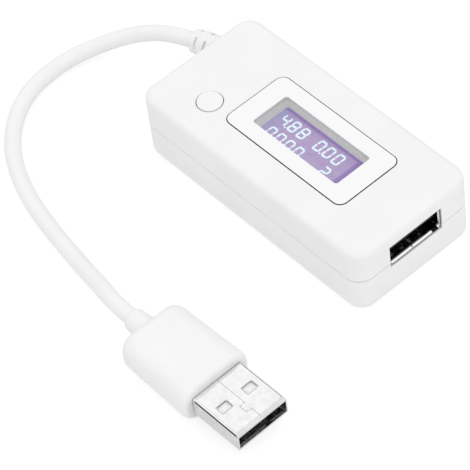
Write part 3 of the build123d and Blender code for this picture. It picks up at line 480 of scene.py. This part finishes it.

# %% [markdown]
# ## The socket
# The socket's shell is the same plated strip. Painted shade darkens it inwards, where little
# light falls, and its mouth is flared by a few tenths of a millimetre. The CAD mesh stays as it
# is, so the flare is made by bending the normals outwards there, which lets it catch the light
# of the room, and a painted highlight brightens it. A line of painted shade lies on the cut
# edge of the sheet. Near one corner a painted dark reflection covers the flare.

# %% Socket shell with its flared mouth
SHADOW = (0.012, 0.012, 0.013)
# painted highlight on the flared mouth
FLARE_HIGHLIGHT = (0.94, 0.94, 0.945)
FLARE, FLARE_BEND, CUT_EDGE = 0.5 * MM, 0.35, 0.04 * MM
# where a painted dark reflection covers the flare near one corner
CORNER_DARK_MIDDLE_Y, CORNER_DARK_HALF = 5.2 * MM, 0.75 * MM
ENDLESS = 1                         # a metre is longer than any piece here
socket_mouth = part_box("usb_socket_shell")[1][0]
# gap_mm paints shade deep inside the shell
socket_steel, shader = sheet_metal("socket_steel", (0.86, 0.86, 0.87), 0.20, gap_mm=6.0)
nodes, links = tree_of(socket_steel)
flare = ramp_along(nodes, links, "X", socket_mouth - FLARE, socket_mouth - FLARE * 0.9)
cut_edge_shade = ramp_along(nodes, links, "X", socket_mouth - CUT_EDGE, socket_mouth - CUT_EDGE / 2)
past_corner_dark = outside(nodes, links, (socket_mouth, CORNER_DARK_MIDDLE_Y), ENDLESS, CORNER_DARK_HALF)
corner_dark_reflection = worked_out(nodes, links, "SUBTRACT", 1, past_corner_dark)
# painted highlight on the flare, painted shade on the cut edge, painted dark reflection at the
# corner
for mark, colour in ((flare, FLARE_HIGHLIGHT), (cut_edge_shade, SHADOW), (corner_dark_reflection, SHADOW)):
    recolour(socket_steel, shader, mark, colour)

outwards = nodes.new("ShaderNodeVectorMath")
outwards.operation = "SCALE"
outwards.inputs[0].default_value = (FLARE_BEND, 0, 0)
bent = nodes.new("ShaderNodeVectorMath")
even = nodes.new("ShaderNodeVectorMath")
even.operation = "NORMALIZE"
links.new(flare, outwards.inputs["Scale"])
links.new(shader.inputs["Normal"].links[0].from_socket, bent.inputs[0])
links.new(outwards.outputs["Vector"], bent.inputs[1])
links.new(bent.outputs["Vector"], even.inputs[0])
links.new(even.outputs["Vector"], shader.inputs["Normal"])
dress(socket_steel, "usb_socket_shell")
print("socket's mouth at x", round(socket_mouth / MM, 2), "mm")

# %% [markdown]
# The socket's springs are plated too, but lie deep in a black block. As metal they would mirror
# only that black, so they are made a pale, dull finish that shows in what light there is. Pins
# are drawn along Z, so their lines run upwards. Solder was liquid, and has dull spots instead.

# %% Springs, pins and solder
socket_springs, shader = sheet_metal("socket_springs", (0.95, 0.94, 0.90), 0.40)
shader.inputs["Metallic"].default_value = 0.0
pin_metal, _ = sheet_metal("pin_metal", (0.78, 0.78, 0.79), 0.35, roll=(1, 1, 10))
solder_metal, _ = sheet_metal("solder", (0.76, 0.76, 0.78), 0.18, roll=(1, 1, 1), dull=0.2)
socket_black, _ = moulded_plastic("socket_black", (0.018, 0.018, 0.019), 0.40)
dress(socket_springs, "usb_socket_contacts")
dress(pin_metal, "lcd_pins", "switch_legs", "chip_leads")
dress(solder_metal, "solder_joints")
dress(socket_black, "usb_socket_insulator")
print("socket and small metal dressed")

# %% [markdown]
# ## The display's clear lens
# The lens is a plate of clear acrylic. Glass that bends light would make the thin plate dark
# and noisy, and over one millimetre the bend can't be seen. So the lens is a transparent shader
# that turns glossy at a glancing view, as the Fresnel law says, with a few wiping marks in its
# polish. Only its front faces shine: seen from inside, Fresnel would turn the rear face into a
# mirror. Round the window the plate is printed black, so that no light leaks past the display,
# and its dark edge shows in the gap of the housing.

# %% Clear lens with its black ink
LENS_CLEAR = (0.975, 0.98, 0.98, 1)
INK_DARK, INK_PALE = (0.010, 0.010, 0.011), (0.016, 0.016, 0.017)
lens_low, lens_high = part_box("display_lens")
display_x = (lens_low[0] + lens_high[0]) / 2
gasket_low, gasket_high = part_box("display_gasket")
CLEAR_HALF_LENGTH = (gasket_high[0] - gasket_low[0]) / 2
CLEAR_HALF_WIDTH = (gasket_high[1] - gasket_low[1]) / 2


def either_shader(nodes, links, factor, first, second):
    """The first shader where factor is 0, the second where it is 1."""
    mix = nodes.new("ShaderNodeMixShader")
    links.new(factor, mix.inputs["Fac"])
    links.new(first, mix.inputs[1])
    links.new(second, mix.inputs[2])
    return mix.outputs["Shader"]


lens_clear, nodes, links, output = start_material("clear_lens")
see_through = nodes.new("ShaderNodeBsdfTransparent")
see_through.inputs["Color"].default_value = LENS_CLEAR
polish = nodes.new("ShaderNodeBsdfGlossy")
polish.inputs["Color"].default_value = (1, 1, 1, 1)
wiping = surface_noise(nodes, links, 0.5, detail=4.0, stretch=(6, 1, 1))
links.new(between(nodes, links, wiping, 0.02, 0.06), polish.inputs["Roughness"])
fresnel = nodes.new("ShaderNodeFresnel")
fresnel.inputs["IOR"].default_value = 1.49
side = nodes.new("ShaderNodeNewGeometry")
gloss_share = worked_out(nodes, links, "SUBTRACT", fresnel.outputs["Fac"],
                         side.outputs["Backfacing"], clamp=True)
clear_part = either_shader(nodes, links, gloss_share, see_through.outputs["BSDF"],
                           polish.outputs["BSDF"])
ink = nodes.new("ShaderNodeBsdfPrincipled")
ink.inputs["Roughness"].default_value = 0.4
links.new(two_tones(nodes, links, wiping, INK_DARK, INK_PALE), ink.inputs["Base Color"])
past_window = outside(nodes, links, (display_x, 0), CLEAR_HALF_LENGTH, CLEAR_HALF_WIDTH)
links.new(either_shader(nodes, links, past_window, clear_part, ink.outputs["BSDF"]),
          output.inputs["Surface"])
dress(lens_clear, "display_lens")
print("clear window in mm:", round(2 * CLEAR_HALF_LENGTH / MM, 1), "x",
      round(2 * CLEAR_HALF_WIDTH / MM, 1))

# %% [markdown]
# ## The white bezel
# The bezel is a thin gloss white frame on the lens. It stands a little over a tenth of a
# millimetre proud of the housing, in a recess with a narrow gap round it. In soft light so fine
# a gap shows hardly any shadow. So the bezel's low outer rim and the wall of the recess are
# tinted black as painted shade, which together draw the dark line round the display.

# %% Bezel and its recess
# heights and depths between which painted shade fades in
RIM_UNSHADED, RIM_DARK = 0.10 * MM, 0.06 * MM              # heights above the housing's top
RECESS_UNSHADED, RECESS_DARK = 0.01 * MM, 0.03 * MM        # depths below it
RECESS_MARGIN, RECESS_STRENGTH = 0.5 * MM, 0.8
housing_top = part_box("top_cover")[1][2]
bezel_low, bezel_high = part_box("display_bezel")
bezel_gloss, shader = moulded_plastic("white_bezel", (0.885, 0.885, 0.888), 0.22,
                                      grain_mm=0.6, grain_depth=0.0006, drift=0.01)
nodes, links = tree_of(bezel_gloss)
# painted shade on the bezel's low outer rim
low_down = ramp_along(nodes, links, "Z", housing_top + RIM_UNSHADED, housing_top + RIM_DARK)
past_window = outside(nodes, links, (display_x, 0), CLEAR_HALF_LENGTH, CLEAR_HALF_WIDTH)
rim = worked_out(nodes, links, "MULTIPLY", low_down, past_window)
recolour(bezel_gloss, shader, rim, SHADOW)

nodes, links = tree_of(shell_plastic)
# painted shade on the wall of the recess
low_down = ramp_along(nodes, links, "Z", housing_top - RECESS_UNSHADED, housing_top - RECESS_DARK)
past_recess = outside(nodes, links, (display_x, 0),
                      (bezel_high[0] - bezel_low[0]) / 2 + RECESS_MARGIN,
                      (bezel_high[1] - bezel_low[1]) / 2 + RECESS_MARGIN)
recess = worked_out(nodes, links, "SUBTRACT", low_down, past_recess, clamp=True)
recolour(shell_plastic, shell_shader, recess, SHADOW, RECESS_STRENGTH)
dress(bezel_gloss, "display_bezel")
print("bezel stands", round((bezel_high[2] - housing_top) / MM, 2), "mm proud")

# %% [markdown]
# ## The display's glass
# The display is a violet negative LCD: two thin glasses with a dyed polariser, lit from behind.
# Its lit field is a little smaller than the glass, and darkens to a deep violet border along
# its edges. The field isn't even. It has cloudy patches, and turns slightly blue towards the
# end where the lamp sits. All of that is one material on Object coordinates, in which the
# border and the blue end are ramps along X and Y.

# %% Violet display glass
FIELD_LEFT, FIELD_RIGHT = display_x - 11.4 * MM, display_x + 8.5 * MM
FIELD_TOP = 3.75 * MM
BORDER_BLUR, BORDER_STRENGTH = 0.3 * MM, 0.9
BLUE_REACH, BLUE_STRENGTH = 4.5 * MM, 0.7
VIOLET = (0.315, 0.22, 0.43)
VIOLET_PALE = (0.345, 0.262, 0.425)
VIOLET_BLUE = (0.29, 0.28, 0.47)
VIOLET_BORDER = (0.20, 0.12, 0.36)

lcd_violet, nodes, links, shader = start_finish("lcd_front")
clouds = surface_noise(nodes, links, 1.6, detail=4.0)
field = two_tones(nodes, links, clouds, VIOLET, VIOLET_PALE)
blue_end = ramp_along(nodes, links, "X", FIELD_LEFT + BLUE_REACH, FIELD_LEFT)
field = tint(nodes, links, blue_end, field, VIOLET_BLUE, BLUE_STRENGTH)
for axis, edge in (("X", FIELD_RIGHT), ("Y", FIELD_TOP)):
    border = ramp_along(nodes, links, axis, edge - BORDER_BLUR, edge + BORDER_BLUR)
    field = tint(nodes, links, border, field, VIOLET_BORDER, BORDER_STRENGTH)
links.new(field, shader.inputs["Base Color"])
links.new(field, shader.inputs["Emission Color"])
shader.inputs["Emission Strength"].default_value = 0.42
shader.inputs["Roughness"].default_value = 0.3
dress(lcd_violet, "lcd_front_glass")
print("display field ends at x", round(FIELD_RIGHT / MM, 2), "mm")

# %% [markdown]
# Behind the front glass are the rear glass, a frosted light guide and its lamp, and above it
# stands a gasket of fine grey foam. The backlight shines into the foam and keeps its walls an
# even grey, however deep they lie. A weak light of their own gives the guide and the foam that
# look, with no lamp inside the model.

# %% Rear glass, light guide, lamp and gasket
def glowing(shader, colour, strength):
    """Makes a finish give off a plain light of its own."""
    shader.inputs["Emission Color"].default_value = (*colour, 1)
    shader.inputs["Emission Strength"].default_value = strength


lcd_deep, _ = moulded_plastic("lcd_rear", (0.12, 0.07, 0.25), 0.12, grain_mm=0.6,
                              grain_depth=0.0005)
guide_frost, shader = moulded_plastic("light_guide", (0.55, 0.42, 0.75), 0.5)
glowing(shader, (0.42, 0.28, 0.66), 0.4)
lamp_yellow, _ = moulded_plastic("led", (0.90, 0.84, 0.50), 0.3)
gasket_foam, shader = moulded_plastic("grey_foam", (0.30, 0.30, 0.295), 0.75, grain_mm=0.25,
                                      grain_depth=0.01, drift=0.05)
glowing(shader, (1, 1, 0.98), 0.31)
dress(lcd_deep, "lcd_rear_glass")
dress(guide_frost, "backlight_guide")
dress(lamp_yellow, "backlight_led")
dress(gasket_foam, "display_gasket")
print("layers round the display dressed")

# %% [markdown]
# ## The digits
# Each digit is made of seven bars with pointed ends and hair gaps between them, leaning a few
# degrees. One bar is modelled from a cube, whose four upright end edges are bevelled to a
# point. It is then copied to each lit place of each digit. The real bars lie in the crystal
# under the front glass. Here they lie on it, as a skin two hundredths of a millimetre thick, so
# that the glass needs no clear layer over them. From outside that can't be told apart.

# %% One lit bar
DIGIT_WIDTH = 1.85 * MM
DIGIT_HEIGHT = 2.95 * MM
STROKE = 0.42 * MM
BAR_GAP = 0.09 * MM
BAR_POINT = 0.46                    # width of each bevel, as a share of the stroke
SKIN = 0.02 * MM


def add_bar(name, length, thickness):
    """A flat bar along X with pointed ends, centred on the origin of its own mesh."""
    bpy.ops.object.select_all(action="DESELECT")
    bpy.ops.mesh.primitive_cube_add(size=1)
    bar = bpy.context.object
    bar.name = name
    bar.scale = (length, thickness, SKIN)
    bpy.ops.object.transform_apply(location=False, rotation=False, scale=True)
    bpy.ops.object.mode_set(mode="EDIT")
    bpy.ops.mesh.select_all(action="DESELECT")
    bpy.ops.object.mode_set(mode="OBJECT")
    for edge in bar.data.edges:
        a, b = (bar.data.vertices[i].co for i in edge.vertices)
        edge.select = abs(a.z - b.z) > SKIN / 2
    bpy.ops.object.mode_set(mode="EDIT")
    bpy.ops.mesh.select_mode(type="EDGE")
    bpy.ops.mesh.bevel(offset=thickness * BAR_POINT, offset_type="WIDTH", segments=1)
    bpy.ops.object.mode_set(mode="OBJECT")
    return bar


half_width = (DIGIT_WIDTH - STROKE) / 2
half_height = (DIGIT_HEIGHT - STROKE) / 2
flat_bar = add_bar("flat_bar", 2 * half_width - BAR_GAP, STROKE)
tall_bar = add_bar("tall_bar", half_height - BAR_GAP, STROKE)
tall_bar.data.transform(Matrix.Rotation(math.radians(90), 4, "Z"))
bpy.ops.object.select_all(action="DESELECT")
bpy.ops.mesh.primitive_cylinder_add(vertices=12, radius=STROKE / 2, depth=SKIN)
dot = bpy.context.object
print("bar corners:", len(flat_bar.data.vertices))

# %% [markdown]
# The seven places have letters in every data sheet: a is the top bar, then b to f go round
# clockwise, and g is the middle one. A digit is then a short word of lit letters. Each place
# says which bar lies there, on which side of the digit's middle, and how many half digits up.

# %% Lay out the two rows
BAR_PLACES = {
    "a": (flat_bar, 0, 2), "b": (tall_bar, 1, 1.5), "c": (tall_bar, 1, 0.5),
    "d": (flat_bar, 0, 0), "e": (tall_bar, -1, 0.5), "f": (tall_bar, -1, 1.5),
    "g": (flat_bar, 0, 1),
}
LIT_BARS = {"0": "abcdef", "2": "abged", "4": "bcfg", "8": "abcdefg"}
DIGIT_PITCH = 2.52 * MM
DIGIT_LEAN = math.radians(3.3)
DOT_STEP = DIGIT_WIDTH + 0.35 * MM
# each row: where its groups of digits start, from the display's middle, and its foot
UPPER_LEFT, UPPER_RIGHT, UPPER_FOOT = -10.35 * MM, -0.70 * MM, 0.22 * MM
LOWER_LEFT, LOWER_RIGHT, LOWER_FOOT = -10.25 * MM, 4.60 * MM, -3.80 * MM
glass_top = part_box("lcd_front_glass")[1][2]


def copy_to(original, x, y):
    """A copy with its own mesh, its middle at x, y on the glass."""
    copy = original.copy()
    copy.data = original.data.copy()
    bpy.context.collection.objects.link(copy)
    copy.location = (x, y, glass_top + SKIN / 2)
    return copy


def lay_row(name, groups, bottom):
    """One leaning row of digits: groups are pairs of a text and where its first digit starts."""
    pieces = []
    for text, left in groups:
        x = display_x + left
        for sign in text:
            if sign == ".":
                pieces.append(copy_to(dot, x - DIGIT_PITCH + DOT_STEP, bottom + STROKE / 2))
                continue
            for letter in LIT_BARS[sign]:
                bar, side, storey = BAR_PLACES[letter]
                pieces.append(copy_to(bar, x + DIGIT_WIDTH / 2 + half_width * side,
                                      bottom + STROKE / 2 + half_height * storey))
            x += DIGIT_PITCH
    bpy.ops.object.select_all(action="DESELECT")
    for piece in pieces:
        piece.select_set(True)
    bpy.context.view_layer.objects.active = pieces[0]
    bpy.ops.object.join()
    row = bpy.context.object
    row.name = name
    bpy.ops.object.transform_apply(location=True, rotation=False, scale=False)
    for vertex in row.data.vertices:
        vertex.co.x += (vertex.co.y - bottom) * math.tan(DIGIT_LEAN)
    return row


upper_row = lay_row("display_upper_digits",
                    [("4.88", UPPER_LEFT), ("0.00", UPPER_RIGHT)], UPPER_FOOT)
lower_row = lay_row("display_lower_digits",
                    [("0000", LOWER_LEFT), ("2", LOWER_RIGHT)], LOWER_FOOT)
for pattern in (flat_bar, tall_bar, dot):
    bpy.data.objects.remove(pattern)
print("bars laid:", len(upper_row.data.polygons) + len(lower_row.data.polygons), "faces")

# %% [markdown]
# The lit bars are where the backlight passes the crystal freely, so they glow a pale ice blue.
# One even colour would look like paint. A faint cloud in it reads as liquid crystal.

# %% The glow of the digits
GLOW_DARK, GLOW_PALE = (0.60, 0.74, 0.82), (0.72, 0.82, 0.86)
digits_lit, nodes, links, shader = start_finish("lit_digits")
cloud = surface_noise(nodes, links, 0.5, detail=2.0)
glow = two_tones(nodes, links, cloud, GLOW_DARK, GLOW_PALE)
links.new(glow, shader.inputs["Base Color"])
links.new(glow, shader.inputs["Emission Color"])
shader.inputs["Emission Strength"].default_value = 0.34
shader.inputs["Roughness"].default_value = 0.3
for row in (upper_row, lower_row):
    row.data.materials.clear()
    row.data.materials.append(digits_lit)
    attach(row, "meter")
print("digits lit")

# %% [markdown]
# ## What the housing hides
# The board, its parts and the wires are only seen when the housing is taken apart, but a
# reusable part is finished inside too. The board is black solder mask over copper: the mask is
# glossy, and the traces under it show as a paler grey. A brick pattern of long, narrow cells
# gives such traces without drawing each one.

# %% Circuit board
board_mask, nodes, links, shader = start_finish("board")
place = nodes.new("ShaderNodeTexCoord")
traces = nodes.new("ShaderNodeTexBrick")
traces.inputs["Scale"].default_value = 1
traces.inputs["Brick Width"].default_value = 3.4 * MM
traces.inputs["Row Height"].default_value = 0.9 * MM
traces.inputs["Mortar Size"].default_value = 0.11 * MM
traces.inputs["Color1"].default_value = (0.012, 0.013, 0.015, 1)
traces.inputs["Color2"].default_value = (0.016, 0.017, 0.019, 1)
traces.inputs["Mortar"].default_value = (0.034, 0.036, 0.038, 1)
links.new(place.outputs["Object"], traces.inputs["Vector"])
links.new(traces.outputs["Color"], shader.inputs["Base Color"])
mask_grain = surface_noise(nodes, links, 0.4)
links.new(between(nodes, links, mask_grain, 0.22, 0.34), shader.inputs["Roughness"])
links.new(fine_relief(nodes, links, traces.outputs["Fac"], 0.02), shader.inputs["Normal"])
dress(board_mask, "main_board")
print("board dressed")

# %% [markdown]
# Chips are black epoxy, capacitors are tan ceramic, and wires are extruded and glossier than the
# moulded parts. They differ only in colour and roughness, so one list of both is enough.

# %% Chips, switch and wires
INNER_FINISHES = {
    "switch_black": ((0.035, 0.035, 0.037), 0.45, ["switch_body"]),
    "plunger_black": ((0.06, 0.06, 0.062), 0.35, ["switch_plunger"]),
    "chip_black": ((0.03, 0.03, 0.032), 0.55, ["controller_chip", "memory_chip", "regulator"]),
    "shunt_black": ((0.045, 0.045, 0.05), 0.40, ["shunt_resistor", "resistors"]),
    "capacitor_tan": ((0.52, 0.38, 0.24), 0.50, ["capacitors"]),
    "wire_red": ((0.62, 0.03, 0.03), 0.33, ["wire_red"]),
    "wire_white": ((0.84, 0.84, 0.82), 0.33, ["wire_white"]),
    "wire_green": ((0.03, 0.36, 0.08), 0.33, ["wire_green"]),
    "wire_black": ((0.02, 0.02, 0.02), 0.33, ["wire_black"]),
}
for name, (colour, roughness, dressed) in INNER_FINISHES.items():
    finish, _ = moulded_plastic(name, colour, roughness)
    dress(finish, *dressed)
print("inner finishes:", len(INNER_FINISHES))

# %% [markdown]
# ## Light
# The meter stands in a white studio under one big soft dome, a little brighter overhead and
# towards the socket's end. Upright faces then come out a shade darker than the top, and the end
# face a shade lighter than the long side. A lamp or two could do that, but would leave hard
# edges in the gloss, so the light is the world itself. It can tell rays from the camera and
# mirrored rays from all others, which lets each kind see surroundings of its own.

# %% The soft dome
DOME_LOW, DOME_HIGH = 0.87, 1.18
DOME_TILT = 0.07
scene = bpy.context.scene
scene.view_settings.view_transform = "Standard"
world = bpy.data.worlds.new("studio_dome")
scene.world = world
world.use_nodes = True
nodes, links = world.node_tree.nodes, world.node_tree.links
nodes.clear()
output = nodes.new("ShaderNodeOutputWorld")
place = nodes.new("ShaderNodeTexCoord")
split = nodes.new("ShaderNodeSeparateXYZ")
links.new(place.outputs["Generated"], split.inputs["Vector"])


def dome_ramp(low, high, start, end, smooth=True):
    """A strength that goes from low to high between two heights, as sines of elevation."""
    return rescaled(nodes, links, split.outputs["Z"], start, end, low, high, smooth)


dome = nodes.new("ShaderNodeBackground")
backdrop = nodes.new("ShaderNodeBackground")
for white in (dome, backdrop):
    white.inputs["Color"].default_value = (1, 1, 1, 1)
tilt = worked_out(nodes, links, "MULTIPLY", split.outputs["X"], DOME_TILT)
rise = dome_ramp(DOME_LOW, DOME_HIGH, 0, 1, smooth=False)
links.new(worked_out(nodes, links, "ADD", rise, tilt), dome.inputs["Strength"])
print("dome strength:", DOME_LOW, "to", DOME_HIGH)

# %% [markdown]
# Matte plastic asks for no more than the dome. Polished metal does: in an all-white room its
# folds would vanish. So what reflections see is a tent that turns grey towards the horizon,
# with two black cards round it: a tall one beyond the housing, and a low one on the side where
# the cable swings out. Cards like these are set up round any shiny goods, to draw thin dark
# lines along their folds. Straight overhead the tent is a little dimmer, where it has its
# opening. The camera itself sees plain white.

# %% The tent and its black cards, for reflections
HORIZON_GREY, GREY_END = 0.40, 0.50
OPENING_DIM, OPENING_START, OPENING_END = 0.82, 0.80, 0.87
CARD_BLACK, CARD_FADE, CARD_BLUR = 0.02, 0.10, 4
# direction and half width of each card in degrees, and the sine of the elevation of its top
CARDS = ((232, 18, 0.29), (122, 12, 0.52))


def ray_kinds(nodes, links):
    """1 for rays from the camera, 1 for mirrored rays, and 1 for either of them."""
    path = nodes.new("ShaderNodeLightPath")
    from_camera = path.outputs["Is Camera Ray"]
    mirrored = worked_out(nodes, links, "MAXIMUM", path.outputs["Is Glossy Ray"],
                          path.outputs["Is Transmission Ray"])
    return from_camera, mirrored, worked_out(nodes, links, "MAXIMUM", from_camera, mirrored)


flat = nodes.new("ShaderNodeVectorMath")
flat.operation = "MULTIPLY"
flat.inputs[1].default_value = (1, 1, 0)
heading = nodes.new("ShaderNodeVectorMath")
heading.operation = "NORMALIZE"
links.new(place.outputs["Generated"], flat.inputs[0])
links.new(flat.outputs["Vector"], heading.inputs[0])
tent = worked_out(nodes, links, "MULTIPLY",
                  dome_ramp(1, OPENING_DIM, OPENING_START, OPENING_END),
                  dome_ramp(HORIZON_GREY, 1, 0, GREY_END))
for direction, half_angle, top in CARDS:
    towards = nodes.new("ShaderNodeVectorMath")
    towards.operation = "DOT_PRODUCT"
    towards.inputs[1].default_value = (math.cos(math.radians(direction)),
                                       math.sin(math.radians(direction)), 0)
    links.new(heading.outputs["Vector"], towards.inputs[0])
    above = dome_ramp(CARD_BLACK, 1, top, top + CARD_FADE)
    beside = rescaled(nodes, links, towards.outputs["Value"],
                      math.cos(math.radians(half_angle)),
                      math.cos(math.radians(half_angle + CARD_BLUR)))
    card = worked_out(nodes, links, "MAXIMUM", above, beside)
    tent = worked_out(nodes, links, "MULTIPLY", card, tent)

from_camera, _, seen = ray_kinds(nodes, links)
links.new(worked_out(nodes, links, "MAXIMUM", tent, from_camera), backdrop.inputs["Strength"])
links.new(either_shader(nodes, links, seen, dome.outputs["Background"],
                        backdrop.outputs["Background"]), output.inputs["Surface"])
print("black cards:", len(CARDS))

# %% [markdown]
# ## Floor
# The floor is white paper that takes the object's soft shadow and lights it from below. Seen
# directly or in a reflection it is lifted towards white, so that it melts into the backdrop
# with only a trace of the shadow left. The lift is weaker in reflections, so that the metal of
# the plug shows the shaded paper beside it. In reflections the paper also ends a little way
# from the plug, on its side away from the housing, and the dark room beyond it draws the line
# along the near fold of the shell.

# %% White paper floor
FLOOR_SIDE, FLOOR_SINK = 6, 0.05 * MM       # just below the object, so that no faces coincide
PAPER_PATCH_MM = 40.0
LIFT_MIRRORED, LIFT_SEEN = 0.36, 0.68
PAPER_END, ROOM_START, ROOM_DARK = 13 * MM, 17 * MM, 0.06
bpy.ops.mesh.primitive_plane_add(size=FLOOR_SIDE)
floor = bpy.context.object
floor.name = "floor"
floor.data.transform(Matrix.Translation((0, 0, -FLOOR_SINK)))

floor_paper, nodes, links, output = start_material("floor_paper")
patches = surface_noise(nodes, links, PAPER_PATCH_MM, detail=2.0)
paper = nodes.new("ShaderNodeBsdfDiffuse")
seen_paper = nodes.new("ShaderNodeBsdfDiffuse")
for sheet, dark, light in ((paper, 0.89, 0.91), (seen_paper, 0.38, 0.39)):
    tones = two_tones(nodes, links, patches, (dark, dark, dark), (light, light, light))
    links.new(tones, sheet.inputs["Color"])
from_camera, mirrored, seen = ray_kinds(nodes, links)
lift = nodes.new("ShaderNodeEmission")
links.new(rescaled(nodes, links, from_camera, 0, 1, LIFT_MIRRORED, LIFT_SEEN),
          lift.inputs["Strength"])
lifted = nodes.new("ShaderNodeAddShader")
links.new(seen_paper.outputs["BSDF"], lifted.inputs[0])
links.new(lift.outputs["Emission"], lifted.inputs[1])
white_floor = either_shader(nodes, links, seen, paper.outputs["BSDF"], lifted.outputs["Shader"])

room = nodes.new("ShaderNodeEmission")
room.inputs["Strength"].default_value = ROOM_DARK
past_paper = rescaled(nodes, links, object_axes(nodes, links)["Y"], plug_middle - PAPER_END,
                      plug_middle - ROOM_START)
in_room = worked_out(nodes, links, "MULTIPLY", past_paper, mirrored)
links.new(either_shader(nodes, links, in_room, white_floor, room.outputs["Emission"]),
          output.inputs["Surface"])
floor.data.materials.append(floor_paper)
print("floor lifted by", LIFT_SEEN, "for the camera,", LIFT_MIRRORED, "in reflections")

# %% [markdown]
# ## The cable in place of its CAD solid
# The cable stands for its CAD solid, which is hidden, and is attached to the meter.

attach(cable, "meter")
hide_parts("usb_cable")
